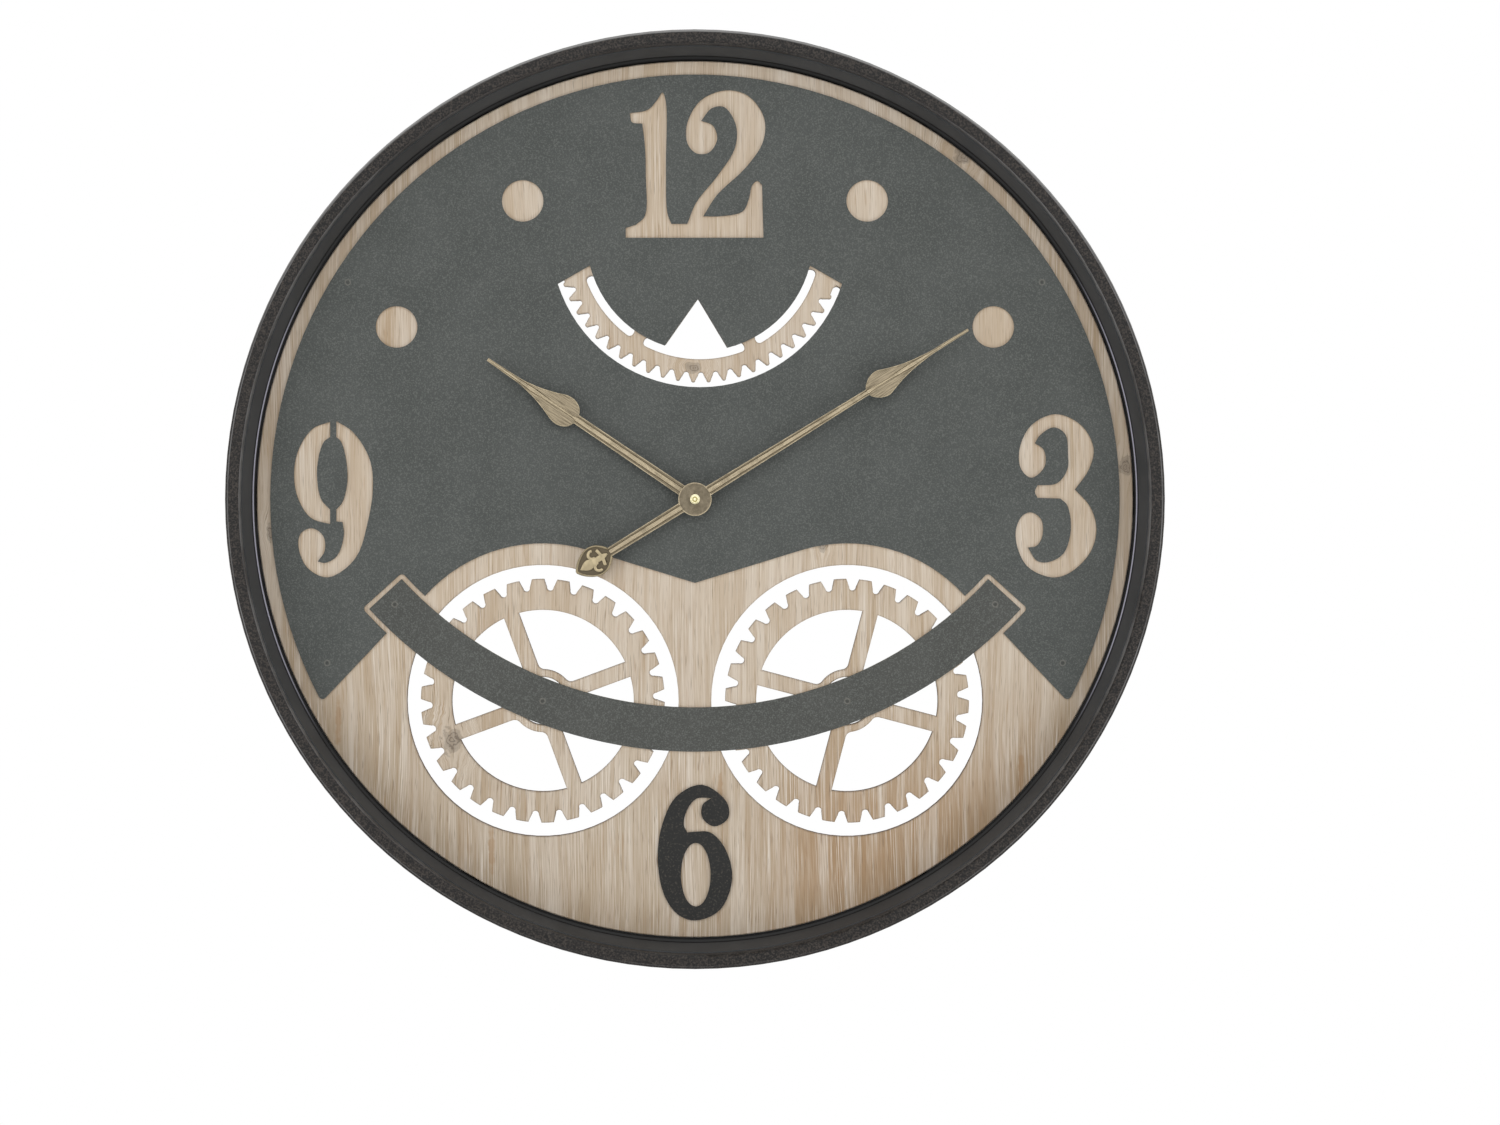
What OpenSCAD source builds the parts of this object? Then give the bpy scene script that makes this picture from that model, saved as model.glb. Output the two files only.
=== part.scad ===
// Round metal wall clock with a timber panel, cut-out dial sheet, toothed wooden wheels and spade hands.
// The dial faces -Y, +Z is up, and the hands turn about the Y axis through the origin.
// Heights are counted from the wall plane at the back towards the viewer.

/* [Frame ring] */
// Outside diameter of the ring
ring_d = 670; // [650:1:700]
// Depth of the ring from the wall to the crown
ring_depth = 65; // [58:1:80]
// Width of the front crown
crown_w = 10.4; // [8:0.2:11.6]
// Inside radius of the bend at the crown's outer edge
outer_bend = 1.2; // [0.6:0.1:2]
// Inside radius of the bend at the crown's inner edge
inner_bend = 0.6; // [0.4:0.1:1.2]
// Sheet thickness of the ring
ring_sheet = 1.4; // [1:0.1:1.8]
// Width of the small ledge inside the crown
ledge_w = 0.9; // [0.6:0.1:1.2]
// Drop from the crown to the ledge
ledge_drop = 6.8; // [5:0.1:9]
// Radial width of the sloping inner wall
slope_w = 6.6; // [5:0.1:9]
// Radial height of the bead above the throat
bead_w = 1.8; // [1.2:0.1:2.2]
// Width of the folded hem that rests on the wall
hem_w = 3; // [2.6:0.1:4]
// Height of the folded hem
hem_h = 8; // [5:0.5:10]

/* [Timber panel] */
// Thickness of the panel
panel_t = 6; // [5:0.5:8]
// Height of the panel's back face above the wall plane
panel_back = 30; // [28:0.5:32]
// Gap between the panel's edge and the throat
panel_gap = 1; // [0.5:0.1:2]
// Depth of the wheels' centres below the hands' axis
wheel_drop = 145.9; // [140:0.5:160]
// Timber left between the two round windows
window_web = 23.6; // [16:0.2:32]
// Timber left between a round window and the panel's edge
window_inset = 35.9; // [32:0.1:42]

/* [Rack window] */
// Sideways place of the rack's centre
rack_x = 3.6; // [0:0.1:5]
// Distance of the rack's centre from the top of the dial sheet
rack_inset = 118; // [110:0.5:126]
// Gap between the rack's teeth and the outer edge of the arched window
rack_clear = 3.5; // [2:0.1:6]
// Tip radius of the rack's teeth
rack_tip_r = 104.5; // [98:0.1:110]
// Height of the rack's teeth
rack_tooth_h = 7.4; // [6.5:0.1:9]
// Width of the rack under its teeth
rack_w = 9.4; // [7:0.1:12]
// Width of the slots on the rack's inner side
rack_slot_w = 5.7; // [4:0.1:8]
// Angle of the window's outer corners below the horizontal
arch_out_end = 18; // [16:0.5:20]
// Angle of the window's inner corners below the horizontal
arch_in_end = 14.2; // [12:0.2:16]
// Teeth that a full circle would have
rack_teeth = 58; // [56:1:62]
// Teeth that stand on the rack
rack_count = 23; // [17:2:23]
// Angle of the rack's middle tooth
rack_mid = 267.3; // [266:0.1:269]
// Rounding of the rack's tooth tips
rack_tip_round = 1.6; // [1.2:0.1:2]
// Rounding between the rack's teeth
rack_root_round = 2; // [1.4:0.1:2.4]
// Sideways place of the pointer-shaped cut-out
pointer_x = 0.3; // [-2:0.1:3]
// Half width of the pointer-shaped cut-out at its base
pointer_half_w = 22.7; // [18:0.5:26]
// Sideways lean of the cut-out's point
pointer_lean = 1.8; // [0:0.1:3]
// Height of the cut-out's point above its base
pointer_h = 34.8; // [28:0.5:40]

/* [Dial sheet] */
// Width of the timber that shows round the dial sheet
dial_inset = 10; // [5:0.5:16]
// Thickness of the dial sheet, the bar and the lower numeral
dial_t = 1.5; // [1:0.1:2]
// Width of the timber that shows round each window
bay_w = 15.7; // [10:0.1:20]
// Height of the dial's lower point above the wheels' centres
vee_rise = 85.4; // [80:0.2:90]
// Angle of the dial's lower corners below the horizontal
horn_angle = 28.5; // [27:0.5:30]
// Distance along the bar's slot from its end to where a lower corner's edge starts
horn_root_l = 25; // [20:0.5:30]
// Rounding of the dial's lower corners
horn_round = 3; // [1:0.5:4]
// Diameter of the round hour marks
mark_d = 30; // [24:0.5:36]
// Distance of the hour marks' centres from the dial's edge
mark_inset = 58; // [50:1:66]
// Height of the numerals nine and three
numeral_h = 114; // [100:1:118]
// Height of the numeral pair twelve
twelve_h = 106.5; // [96:0.5:110]
// Height of the numeral six
six_h = 98; // [88:1:104]
// Distance of the centres of nine and three from the dial's edge
numeral_inset = 45.8; // [40:0.2:52]
// Height of the numeral three's centre above the hands' axis
three_z = 2.5; // [0:0.5:4]
// Gap between the top of the numeral pair twelve and the dial's edge
twelve_gap = 11.5; // [8:0.5:16]
// Distance of the numeral six's centre from the panel's lower edge
six_inset = 61.5; // [54:0.5:68]

/* [Curved bar] */
// Radius of the bar's middle line, which crosses the wheels' centres
bar_r = 304.5; // [280:0.5:330]
// Width of the bar
bar_w = 32; // [28:0.5:36]
// Reach of the bar past each round window
bar_reach = 40.4; // [36:0.2:46]
// Gap between the bar's ends and the dial sheet
bar_gap = 3.3; // [2:0.1:4]
// Rounding of the gap's corners
bar_gap_round = 3; // [1:0.5:4]

/* [Wooden wheels] */
// Number of teeth
wheel_teeth = 30; // [24:1:36]
// Gap between a wheel's teeth and its window
wheel_clear = 10.1; // [6:0.1:14]
// Height of the teeth
tooth_h = 8.4; // [6:0.1:10]
// Width of a tooth at its tip
tooth_tip_w = 8; // [6:0.1:9]
// Width of a gap between teeth at its root
tooth_gap_w = 5; // [4:0.1:6]
// Width of the rim under the teeth
rim_w = 14; // [10:0.1:18]
// Outer radius of the hub
wheel_hub_r = 22.7; // [21.5:0.1:26]
// Width of the ring-shaped hub
hub_w = 5.4; // [3.5:0.1:7]
// Width of a spoke
spoke_w = 11.3; // [8:0.1:14]
// Fillet between spoke and hub
spoke_fillet = 5; // [2:0.5:7]
// Turn of the left wheel
left_turn = 20.3; // [0:0.1:90]
// Turn of the right wheel
right_turn = 165.2; // [90:0.1:180]

/* [Hands] */
// Hour hand's angle clockwise from twelve
hour_angle = -56; // [-90:0.5:90]
// Minute hand's angle clockwise from twelve
minute_angle = 58.2; // [-90:0.1:90]
// Thickness of a hand at its edge
hand_t = 0.9; // [0.7:0.1:1.2]
// Rise of a hand's ridge above its edge
ridge_h = 0.9; // [0.5:0.1:1.2]
// Width of the raised edge round a hand
hand_edge_w = 0.6; // [0.4:0.1:1]
// Depth of a hand's field below its raised edge
hand_dip = 0.3; // [0.1:0.1:0.5]
// Width of the rib along a hand's stem
rib_w = 3.8; // [2.4:0.1:4.4]
// Length of the hour hand from the axis
hour_l = 180; // [170:1:185]
// Length of the minute hand from the axis
minute_l = 231; // [215:1:240]
// Diameter of the minute hand's hub disc
minute_hub_d = 24; // [20:0.5:27]
// Diameter of the hour hand's hub disc
hour_hub_d = 22; // [18:0.5:24]
// Diameter of the round nut on the hands
hand_nut_d = 7; // [6:0.1:9]
// Thickness of the round nut
hand_nut_t = 2; // [1.5:0.1:3]
// Clear height between the dial sheet and the hour hand
hour_rise = 7; // [6.6:0.1:8]
// Clear height between the two hands
hand_gap = 1.8; // [1:0.1:2.5]

/* [Movement] */
// Depth of the movement case
case_depth = 16; // [16:0.1:18]
// Wall thickness of the case
case_wall = 1.5; // [1.2:0.1:1.8]
// Distance from the hands' axis up to the case's top edge
case_top = 21.5; // [21:0.5:24]
// Diameter of the rubber washer behind the panel
rubber_d = 22; // [18:0.5:26]
// Thickness of the rubber washer behind the panel
rubber_t = 1; // [0.5:0.1:1.5]
// Radius of the threaded bush
bush_r = 4; // [3.8:0.1:4.4]
// Radius of the hour tube
tube_r = 2.5; // [2.4:0.05:2.7]
// Radius of the minute arbor
arbor_r = 1.6; // [1.5:0.05:1.7]
// Radius of the threaded end that takes the hand nut
thread_r = 1.25; // [1:0.05:1.4]
// Hexagon nut of the bush across its flats
bush_nut_af = 12; // [10:0.5:14]
// Thickness of the hexagon nut
bush_nut_t = 2.5; // [2:0.1:3]
// Diameter of the brass washer under the nut
washer_d = 18; // [15:0.5:22]
// Thickness of the brass washer
washer_t = 0.8; // [0.5:0.1:1]
// Distance between the motion-work arbors
motion_c = 12; // [11.8:0.1:12.4]
// Diameter of the setting knob
knob_d = 14; // [11:0.5:16]
// Thickness of the setting knob
knob_t = 5; // [4:0.5:6]
// Diameter of the battery
cell_d = 14.2; // [13.5:0.1:15]
// Length of the battery without its button
cell_l = 49; // [48:0.5:52]

/* [Fixings] */
// Radius of the welded studs
stud_r = 1.5; // [1.2:0.1:2]
// Length of the welded studs
stud_l = 12; // [11.5:0.5:14]
// Distance of the dial's upper studs from its edge
upper_stud_inset = 11.2; // [8:0.2:14]
// Angle of the dial's upper studs above the horizontal
upper_stud_angle = 32; // [24:0.5:36]
// Distance of the dial's lower studs from its edge
lower_stud_inset = 16; // [10:0.2:20]
// Angle of the dial's lower studs below the horizontal
lower_stud_angle = 24; // [20:0.5:25]
// Distance of the bar's end studs from its ends
bar_stud_inset = 9.6; // [6:0.2:14]
// Stud nut across its flats
stud_nut_af = 5.5; // [5:0.5:7]
// Thickness of a stud nut
stud_nut_t = 2.4; // [2:0.1:3]
// Number of welded tabs that carry the panel
tab_count = 6; // [6:1:10]
// Width of a tab
tab_w = 22; // [16:1:28]
// Reach of a tab from the throat
tab_l = 20; // [16:1:24]
// Thickness of a tab
tab_t = 2; // [1.5:0.1:2.5]
// Radius of a panel screw
screw_r = 1.75; // [1.5:0.05:2]
// Depth of a panel screw in the panel
screw_depth = 4; // [3:0.5:4.5]
// Width of the clamp strips behind the wooden wheels
clamp_w = 20; // [16:1:24]
// Thickness of the clamp strips
clamp_t = 1.5; // [1:0.1:2]
// Distance of the hanging strap's middle line from the top of the ring
strap_inset = 37; // [33:1:42]
// Width of the hanging strap
strap_w = 34; // [30:1:38]
// Thickness of the hanging strap
strap_t = 2; // [1.5:0.1:3]
// Radius of the keyhole's round end
keyhole_r = 5.5; // [4.5:0.1:6]
// Width of the keyhole's slot
keyhole_slot_w = 5; // [4:0.1:6]

/* [Hidden] */
$fn = 96;
// Radial clearance of a shaft that runs in a bush
running_fit = 0.05;
// Radial clearance of a hole round a fixed piece
hole_fit = 0.1;
// Clearance of parts that pass each other
pass_gap = 0.4;
// Straight steps on each span of a drawn curve
curve_steps = 5;
// Straight steps on a long arc of a drawn outline
arc_steps = 40;
// Straight steps on a small rounded corner
corner_steps = 6;
// Overlap of a cutting shape past the face that it cuts
past = 1;
// Free length of a pivot in a blind hole
end_play = 0.3;
// Height of the bead above the panel's front
bead_rise = 3;
// Depth of the throat behind the panel's back
throat_depth = 10;
// Height of the hanging strap's back above the wall
strap_back = 1;
// Reach of the rack's slot past its last teeth, in tooth pitches
rack_reach = 0.53;
// Length of the bush in front of its nut
bush_over = 1.2;
// Thread that shows in front of the hand nut
thread_over = 0.6;
// Lap of a hand's stem on its hub disc
stem_lap = 1;

ring_r = ring_d / 2;
wall_y = ring_depth / 2;
outer_round = outer_bend + ring_sheet;
inner_round = inner_bend + ring_sheet;
crown_in_r = ring_r - crown_w;
ledge_h = ring_depth - ledge_drop;
panel_front = panel_back + panel_t;
bead_h = panel_front + bead_rise;
throat_r = crown_in_r - slope_w;
throat_back = panel_back - throat_depth;
panel_r = throat_r - panel_gap;
dial_r = panel_r - dial_inset;
dial_front = panel_front + dial_t;

rack_z = dial_r - rack_inset;
rack_root_r = rack_tip_r - rack_tooth_h;
rack_in_r = rack_root_r - rack_w;
arch_out_r = rack_tip_r + rack_clear;
arch_in_r = rack_in_r - rack_slot_w;
mark_ring_r = dial_r - mark_inset;
side_numeral_x = dial_r - numeral_inset;
twelve_z = dial_r - twelve_gap - twelve_h;
six_z = six_inset - panel_r;
strap_z = ring_r - strap_inset;

wheel_z = -wheel_drop;
windows_reach_r = panel_r - window_inset;
window_r = (pow(windows_reach_r, 2) - pow(window_web / 2, 2) - pow(wheel_drop, 2))
    / (2 * windows_reach_r + window_web);
wheel_x = window_r + window_web / 2;
wheel_tip_r = window_r - wheel_clear;
wheel_root_r = wheel_tip_r - tooth_h;
wheel_rim_r = wheel_root_r - rim_w;
wheel_bore_r = wheel_hub_r - hub_w;
bay_r = window_r + bay_w;
vee_z = wheel_z + vee_rise;

wheel_angle = asin(wheel_x / bar_r);
bar_z = wheel_z + bar_r * cos(wheel_angle);
bar_in_r = bar_r - bar_w / 2;
bar_out_r = bar_r + bar_w / 2;
bar_half_angle = wheel_angle + turn_of(window_r + bar_reach, bar_r);
bar_end_angle = bar_half_angle - turn_of(bar_stud_inset, bar_r);
slot_half_angle = bar_half_angle + turn_of(bar_gap, bar_r);
slot_out_r = bar_out_r + bar_gap;
horn_root_angle = slot_half_angle - turn_of(horn_root_l, slot_out_r);
tab_angles = [for (i = [0 : tab_count - 1]) 360 / tab_count * i];
screw_ring_r = throat_r - tab_l;

case_front = panel_back - rubber_t;
case_back = case_front - case_depth;
case_inner_front = case_front - case_wall;
cover_t = case_wall;
train_h = 36.5;
divider_z = case_top - train_h;
bush_front = dial_front + washer_t + bush_nut_t + bush_over;
hour_back = dial_front + hour_rise;
hour_front = hour_back + hand_t + ridge_h;
minute_back = hour_front + hand_gap;
minute_front = minute_back + hand_t;

motion_module = motion_c / 24;
hour_module = motion_c / 25;
cannon_teeth = 12;
minute_teeth = 36;
pinion_teeth = 10;
hour_teeth = 40;
centre_teeth = 60;
centre_module = 0.32;
pressure_angle = 20;
tip_share = 0.85;
root_share = 1.2;
tooth_share = 0.42;
stem_r = 1.5;
pivot_r = 0.9;
bearing_r = 3;
bearing_t = 2;
bush_flange_r = bush_r + 2;
bush_flange_t = 0.8;
board_t = 1.2;
board_x = 12;
board_z = -12;
board_w = 26;
drive_x = 8;
drive_z = -6;
drive_w = 15;
drive_t = 5.5;
drive_lift = 2.2;
hour_wheel_t = 1.7;
hour_wheel_back = case_inner_front - 2.8;
minute_wheel_t = 1.4;
minute_wheel_back = case_inner_front - 6.1;
centre_wheel_t = 1.2;
centre_wheel_back = case_inner_front - 9.8;
cell_gap = 1.15;
cell_nub_r = 2.75;
cell_nub_l = 1.5;
contact_t = 0.5;
contact_room = 4 * contact_t;
cell_z = divider_z - case_wall - cell_gap - cell_d / 2;
cell_h = case_inner_front - hole_fit - cell_d / 2;
case_w = cell_l + cell_nub_l + contact_room + contact_t + 2 * case_wall;
case_h = train_h + cell_d + 2 * cell_gap + 2 * case_wall;

dial_studs_at = [for (side = [0, 180])
    each [polar(dial_r - upper_stud_inset, abs(side - upper_stud_angle)),
        polar(dial_r - lower_stud_inset, -abs(side - lower_stud_angle))]];
bar_end_at = [for (s = [-1, 1]) bar_point(s * bar_end_angle)];
wheel_at = [for (s = [-1, 1]) bar_point(s * wheel_angle)];
rack_slots = [[199.1, 235.1], [241.4, 292.2], [298.6, 344.3]];

// Angle that a length takes up along an arc
function turn_of(l, r) = l / r * 180 / PI;

// Point on the bar's middle line, at an angle from straight down
function bar_point(a) = [bar_r * sin(a), bar_z - bar_r * cos(a)];

// Point at a radius and an angle, counter-clockwise from +X
function polar(r, a) = r * [cos(a), sin(a)];

// Points along an arc about a centre
function arc(at, r, a0, a1, steps) = [for (i = [0 : steps]) at + polar(r, a0 + (a1 - a0) * i / steps)];

// Outline without points that repeat
function distinct(points) =
    [for (i = [0 : len(points) - 1])
        if (norm(points[i] - points[(i + 1) % len(points)]) > 0.001) points[i]];

// Point on a centripetal Catmull-Rom span that runs from b to c
function span_point(a, b, c, d, u) =
    let (t1 = sqrt(norm(b - a)))
    let (t2 = t1 + sqrt(norm(c - b)))
    let (t3 = t2 + sqrt(norm(d - c)))
    let (t = t1 + (t2 - t1) * u)
    let (p = (a * (t1 - t) + b * t) / t1)
    let (q = (b * (t2 - t) + c * (t - t1)) / (t2 - t1))
    let (r = (c * (t3 - t) + d * (t - t2)) / (t3 - t2))
    let (m = (p * (t2 - t) + q * t) / t2)
    let (n = (q * (t3 - t) + r * (t - t1)) / (t3 - t1))
    (m * (t2 - t) + n * (t - t1)) / (t2 - t1);

// Smooth curve through the points, without its last point; two points make a straight edge
function open_curve(pts) =
    let (k = len(pts) - 1)
    let (ext = concat([2 * pts[0] - pts[1]], pts, [2 * pts[k] - pts[k - 1]]))
    k == 1 ? [pts[0]] :
    [for (i = [0 : k - 1], j = [0 : curve_steps - 1])
        span_point(ext[i], ext[i + 1], ext[i + 2], ext[i + 3], j / curve_steps)];

// Closed outline of strokes; each stroke starts at a corner and runs to the next one's start
function outline(strokes) =
    [for (i = [0 : len(strokes) - 1])
        each open_curve(concat(strokes[i], [strokes[(i + 1) % len(strokes)][0]]))];

// Stations of a hand with their distances multiplied
function stretched(points, k) = [for (p = points) [p[0] * k, p[1]]];

// Numerals as strokes between corners, drawn about their own centres at their full height
nine_left = [
    [[-2.5, 56], [-15, 51], [-25, 36.5], [-28.5, 19.5], [-26, 1.5], [-16.5, -13.5]],
    [[-2.5, -18]],
    [[-2.5, -7.5], [-9, 0], [-12, 17], [-10.5, 32], [-7, 41.5]],
    [[-2.5, 45]]];
nine_right = [
    [[2, 56.5], [14, 48.5], [25.5, 30.5], [28.5, 11.5], [25, -15], [15.5, -43], [-4, -56.5],
        [-19, -49.5], [-25.5, -33.5], [-23.5, -24.5], [-15.5, -21], [-7.5, -26.5], [-6.5, -37.5]],
    [[-11.5, -45], [-6, -46], [2.5, -41], [7.5, -26]],
    [[6.5, -16.5]],
    [[2, -16]],
    [[2, -7.5], [6.5, -2], [10, 12.5], [9, 29], [5.5, 41.5]],
    [[2, 45]]];
three = [
    [[-15.5, 38], [-9, 33], [-8.5, 21], [-18, 13], [-25.5, 19.5], [-26.5, 34], [-18, 51], [0, 59],
        [18.5, 50.5], [27, 34], [23.5, 19]],
    [[13.5, 4.5], [24.5, -8], [29, -24], [24.5, -41], [10, -55.5], [-3, -59], [-21.5, -50.5],
        [-29.5, -29], [-25.5, -15.5], [-18.5, -12], [-11, -17], [-10, -28.5], [-14, -36]],
    [[-20.5, -37.5], [-14, -47], [-6, -48], [5, -42], [10.5, -25], [8, -7]],
    [[3, -2]],
    [[-13.5, -1.5], [-15.5, 3]],
    [[-13.5, 7.5], [0.5, 9], [8, 19], [8.5, 30], [6.5, 44.5], [-2, 49.5], [-12, 43.5]]];
six = [
    [[12, 39.5], [5.5, 34.5], [5.5, 25], [14, 19], [24, 25], [23, 36.5], [5, 49], [-13.5, 40.5],
        [-23.5, 21], [-27, -3.5], [-22.5, -30], [-12.5, -44.5], [0, -49], [18, -41.5], [27, -18.5],
        [21.5, 3.5], [11, 14.5], [0, 15]],
    [[-5.5, 14.5], [-8, 20], [-6, 30], [1, 39]]];
six_counter_at = [0.6, -16];
six_counter = [10.7, 23.1];
twelve = [
    [[-50, 0]],
    [[49.5, 0]],
    [[48.5, 38], [45, 41], [41.5, 38], [39, 28], [34.5, 19], [18, 15.5]],
    [[6, 15.5], [16, 31], [36.5, 50.5], [49, 69], [50, 86.5], [38.5, 102.5], [22.5, 106.5],
        [4.5, 99.5], [-5.5, 83], [-5.5, 68.5], [1, 61], [10, 61.5], [16, 71], [13, 81]],
    [[4.5, 84.5], [12, 93.5], [21, 94.5], [29.5, 82], [29, 65], [16.5, 45], [1, 25.5]],
    [[-5.5, 10]],
    [[-17, 10], [-20, 18], [-21, 50], [-21, 98], [-23.5, 105], [-27, 100], [-34, 92.5]],
    [[-47, 90], [-45.5, 83.5]],
    [[-38, 82.5], [-36, 65], [-35.5, 45], [-36, 16]],
    [[-42.5, 9.5]],
    [[-50, 7]]];
twelve_drawn_h = 106.5;
side_numeral_drawn_h = 114;
six_drawn_h = 98;

// Half widths of the hands at distances from the axis, drawn at their full lengths
hour_drawn = [[60, 3.2], [102.5, 2.9], [103.6, 5], [106.2, 8.4], [112, 11], [118, 10.6],
    [125, 8], [136, 4.6], [145, 2.8], [152, 1.9], [166, 1.5], [180, 1.1]];
minute_drawn = [[80, 2.6], [145.5, 2.1], [146.8, 4], [149, 6.2], [152.5, 8.5], [158.5, 9.9],
    [165, 7.9], [175, 4.9], [184, 3.1], [192, 2.1], [199, 1.4], [215, 1.2], [231, 1]];
hour_drawn_l = 180;
minute_drawn_l = 231;
hour_outline = concat([[hour_hub_d / 2 - stem_lap, 3.6]], stretched(hour_drawn, hour_l / hour_drawn_l));
minute_outline = concat([[minute_hub_d / 2 - stem_lap, 3.1]],
    stretched(minute_drawn, minute_l / minute_drawn_l));
tail_outline = [[minute_hub_d / 2 - stem_lap, 3.1], [40, 3], [72, 2.8]];
tail_end = tail_outline[2][0];
leaf_outline = [[70.5, 2.7], [72.5, 4.6], [75, 7.2], [79, 10], [83, 11], [86.5, 10.9], [90, 9.7],
    [93.5, 7.7], [96.8, 5.1], [99.2, 2.4], [100.3, 0.7]];
petal_outline = [[74, 0.5], [76.5, 1.7], [80, 2.3], [84.3, 2.2], [87.4, 3.3], [90, 3.9], [93, 2.9],
    [95.5, 1.2], [96.7, 0.4]];

// Flat layer drawn in the dial's plane, from a height towards the viewer
module layer(h, t) {
    translate([0, wall_y - h, 0])
        rotate([90, 0, 0])
            linear_extrude(t)
                children();
}

// Turned shape about an axis through a point of the dial; drawn as radius and height
module turned(at = [0, 0]) {
    translate([at.x, wall_y, at.y])
        rotate([90, 0, 0])
            rotate_extrude()
                children();
}

// Rectangle of a turned profile between two radii and two heights
module band(r0, r1, h0, h1) {
    translate([r0, h0])
        square([r1 - r0, h1 - h0]);
}

// Sector that covers the angles a0 to a1, counter-clockwise from +X, out to radius r
module sector(r, a0, a1) {
    reach = r / cos((a1 - a0) / 8);
    polygon(concat([[0, 0]], [for (i = [0 : 4])
        polar(reach, a0 + (a1 - a0) * i / 4)]));
}

// Annular band from radius r0 to r1 and angle a0 to a1, with rounded corners
module arc_band(r0, r1, a0, a1, round) {
    in_r = r0 + round;
    out_r = r1 - round;
    in_turn = asin(round / in_r);
    out_turn = asin(round / out_r);
    polygon(distinct(concat(
        arc([0, 0], r1, a0 + out_turn, a1 - out_turn, arc_steps),
        arc(polar(out_r, a1 - out_turn), round, a1 - out_turn, a1 + 90, corner_steps),
        arc(polar(in_r, a1 - in_turn), round, a1 + 90, a1 - in_turn + 180, corner_steps),
        arc([0, 0], r0, a1 - in_turn, a0 + in_turn, arc_steps),
        arc(polar(in_r, a0 + in_turn), round, a0 + in_turn + 180, a0 + 270, corner_steps),
        arc(polar(out_r, a0 + out_turn), round, a0 - 90, a0 + out_turn, corner_steps))));
}

// Hexagon across its flats
module hexagon(af) {
    circle(af / 2 / cos(30), $fn = 6);
}

// Gap between two teeth with a round root, pointing along +X
module tooth_gap(root_r, tip_r, root_w, tip_w) {
    round = root_w / 2;
    translate([root_r + round, 0])
        circle(round);
    polygon([[root_r + round, -round], [tip_r + past, -tip_w / 2], [tip_r + past, tip_w / 2],
        [root_r + round, round]]);
}

// Involute radius angle at radius r on base circle b
function roll(r, b) = sqrt(max(0, r * r / (b * b) - 1)) * 180 / PI - acos(min(1, b / r));

// Small involute gear with running backlash
module fine_gear(m, teeth) {
    pitch_r = m * teeth / 2;
    base_r = pitch_r * cos(pressure_angle);
    tip_r = pitch_r + tip_share * m;
    root_r = pitch_r - root_share * m;
    half = tooth_share * 180 / teeth;
    low_r = max(base_r, root_r);
    function flank(r) = half + roll(pitch_r, base_r) - roll(r, base_r);
    radii = [for (i = [0 : 4]) low_r + (tip_r - low_r) * i / 4];
    polygon([for (k = [0 : teeth - 1], side = [-1, 1], i = [-1 : 4])
        let (step = side < 0 ? i : 3 - i)
        let (r = step < 0 ? root_r : radii[step])
        let (a = 360 * k / teeth + side * flank(max(r, low_r)))
        polar(r, a)]);
}

// Strip with raised edges, a lower field and a middle rib, along +Z, from a list of [distance, half width]
module ridged_strip(stations, edge_t, rise) {
    edge_share = 0.2;
    rib_share = 0.58;
    crest_share = 0.66;
    full_w = 2.5;
    stem_w = 3.6;
    fade_w = 8;
    half_n = 6;
    ring = 2 * half_n;
    count = len(stations);
    function half_section(w) =
        let (k = min(1, w / full_w))
        let (fade = 1 - min(0.55, max(0, w - stem_w) / fade_w))
        let (lip = w - min(hand_edge_w, edge_share * w))
        let (field_t = edge_t - hand_dip * k)
        let (rib = min(rib_w / 2, rib_share * w) * fade)
        [[w, 0], [w, edge_t], [lip, edge_t], [lip - hand_dip * k / 2, field_t], [rib, field_t],
            [crest_share * rib, edge_t + rise * k * fade]];
    points = [for (p = stations)
        let (half = half_section(p[1]))
        each concat([for (q = half) [-q[0], -q[1], p[0]]],
            [for (i = [half_n - 1 : -1 : 0]) [half[i][0], -half[i][1], p[0]]])];
    sides = [for (i = [0 : count - 2], j = [0 : ring - 1])
        let (a = i * ring + j)
        let (b = i * ring + (j + 1) % ring)
        each [[a, a + ring, b], [b, a + ring, b + ring]]];
    foot = [[0, 1, 2], [0, 2, 3], [0, 3, 4], [4, 5, 6], [4, 6, 7], [0, 4, 7], [0, 7, 11], [7, 8, 11],
        [8, 9, 11], [9, 10, 11]];
    top = (count - 1) * ring;
    head = [for (f = foot) [top + f[0], top + f[2], top + f[1]]];
    polyhedron(points, concat(sides, foot, head), convexity = 6);
}

// Hand placed at its height and angle
module hand_at(height, angle) {
    translate([0, wall_y - height, 0])
        rotate([0, angle, 0])
            children();
}

// Quarter bend of the ring's sheet about a centre, towards the outside or the inside of the ring
module sheet_bend(at, r, outside) {
    translate(at)
        intersection() {
            difference() {
                circle(r);
                circle(r - ring_sheet);
            }
            translate([outside ? 0 : -r - past, 0])
                square(r + past);
        }
}

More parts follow.
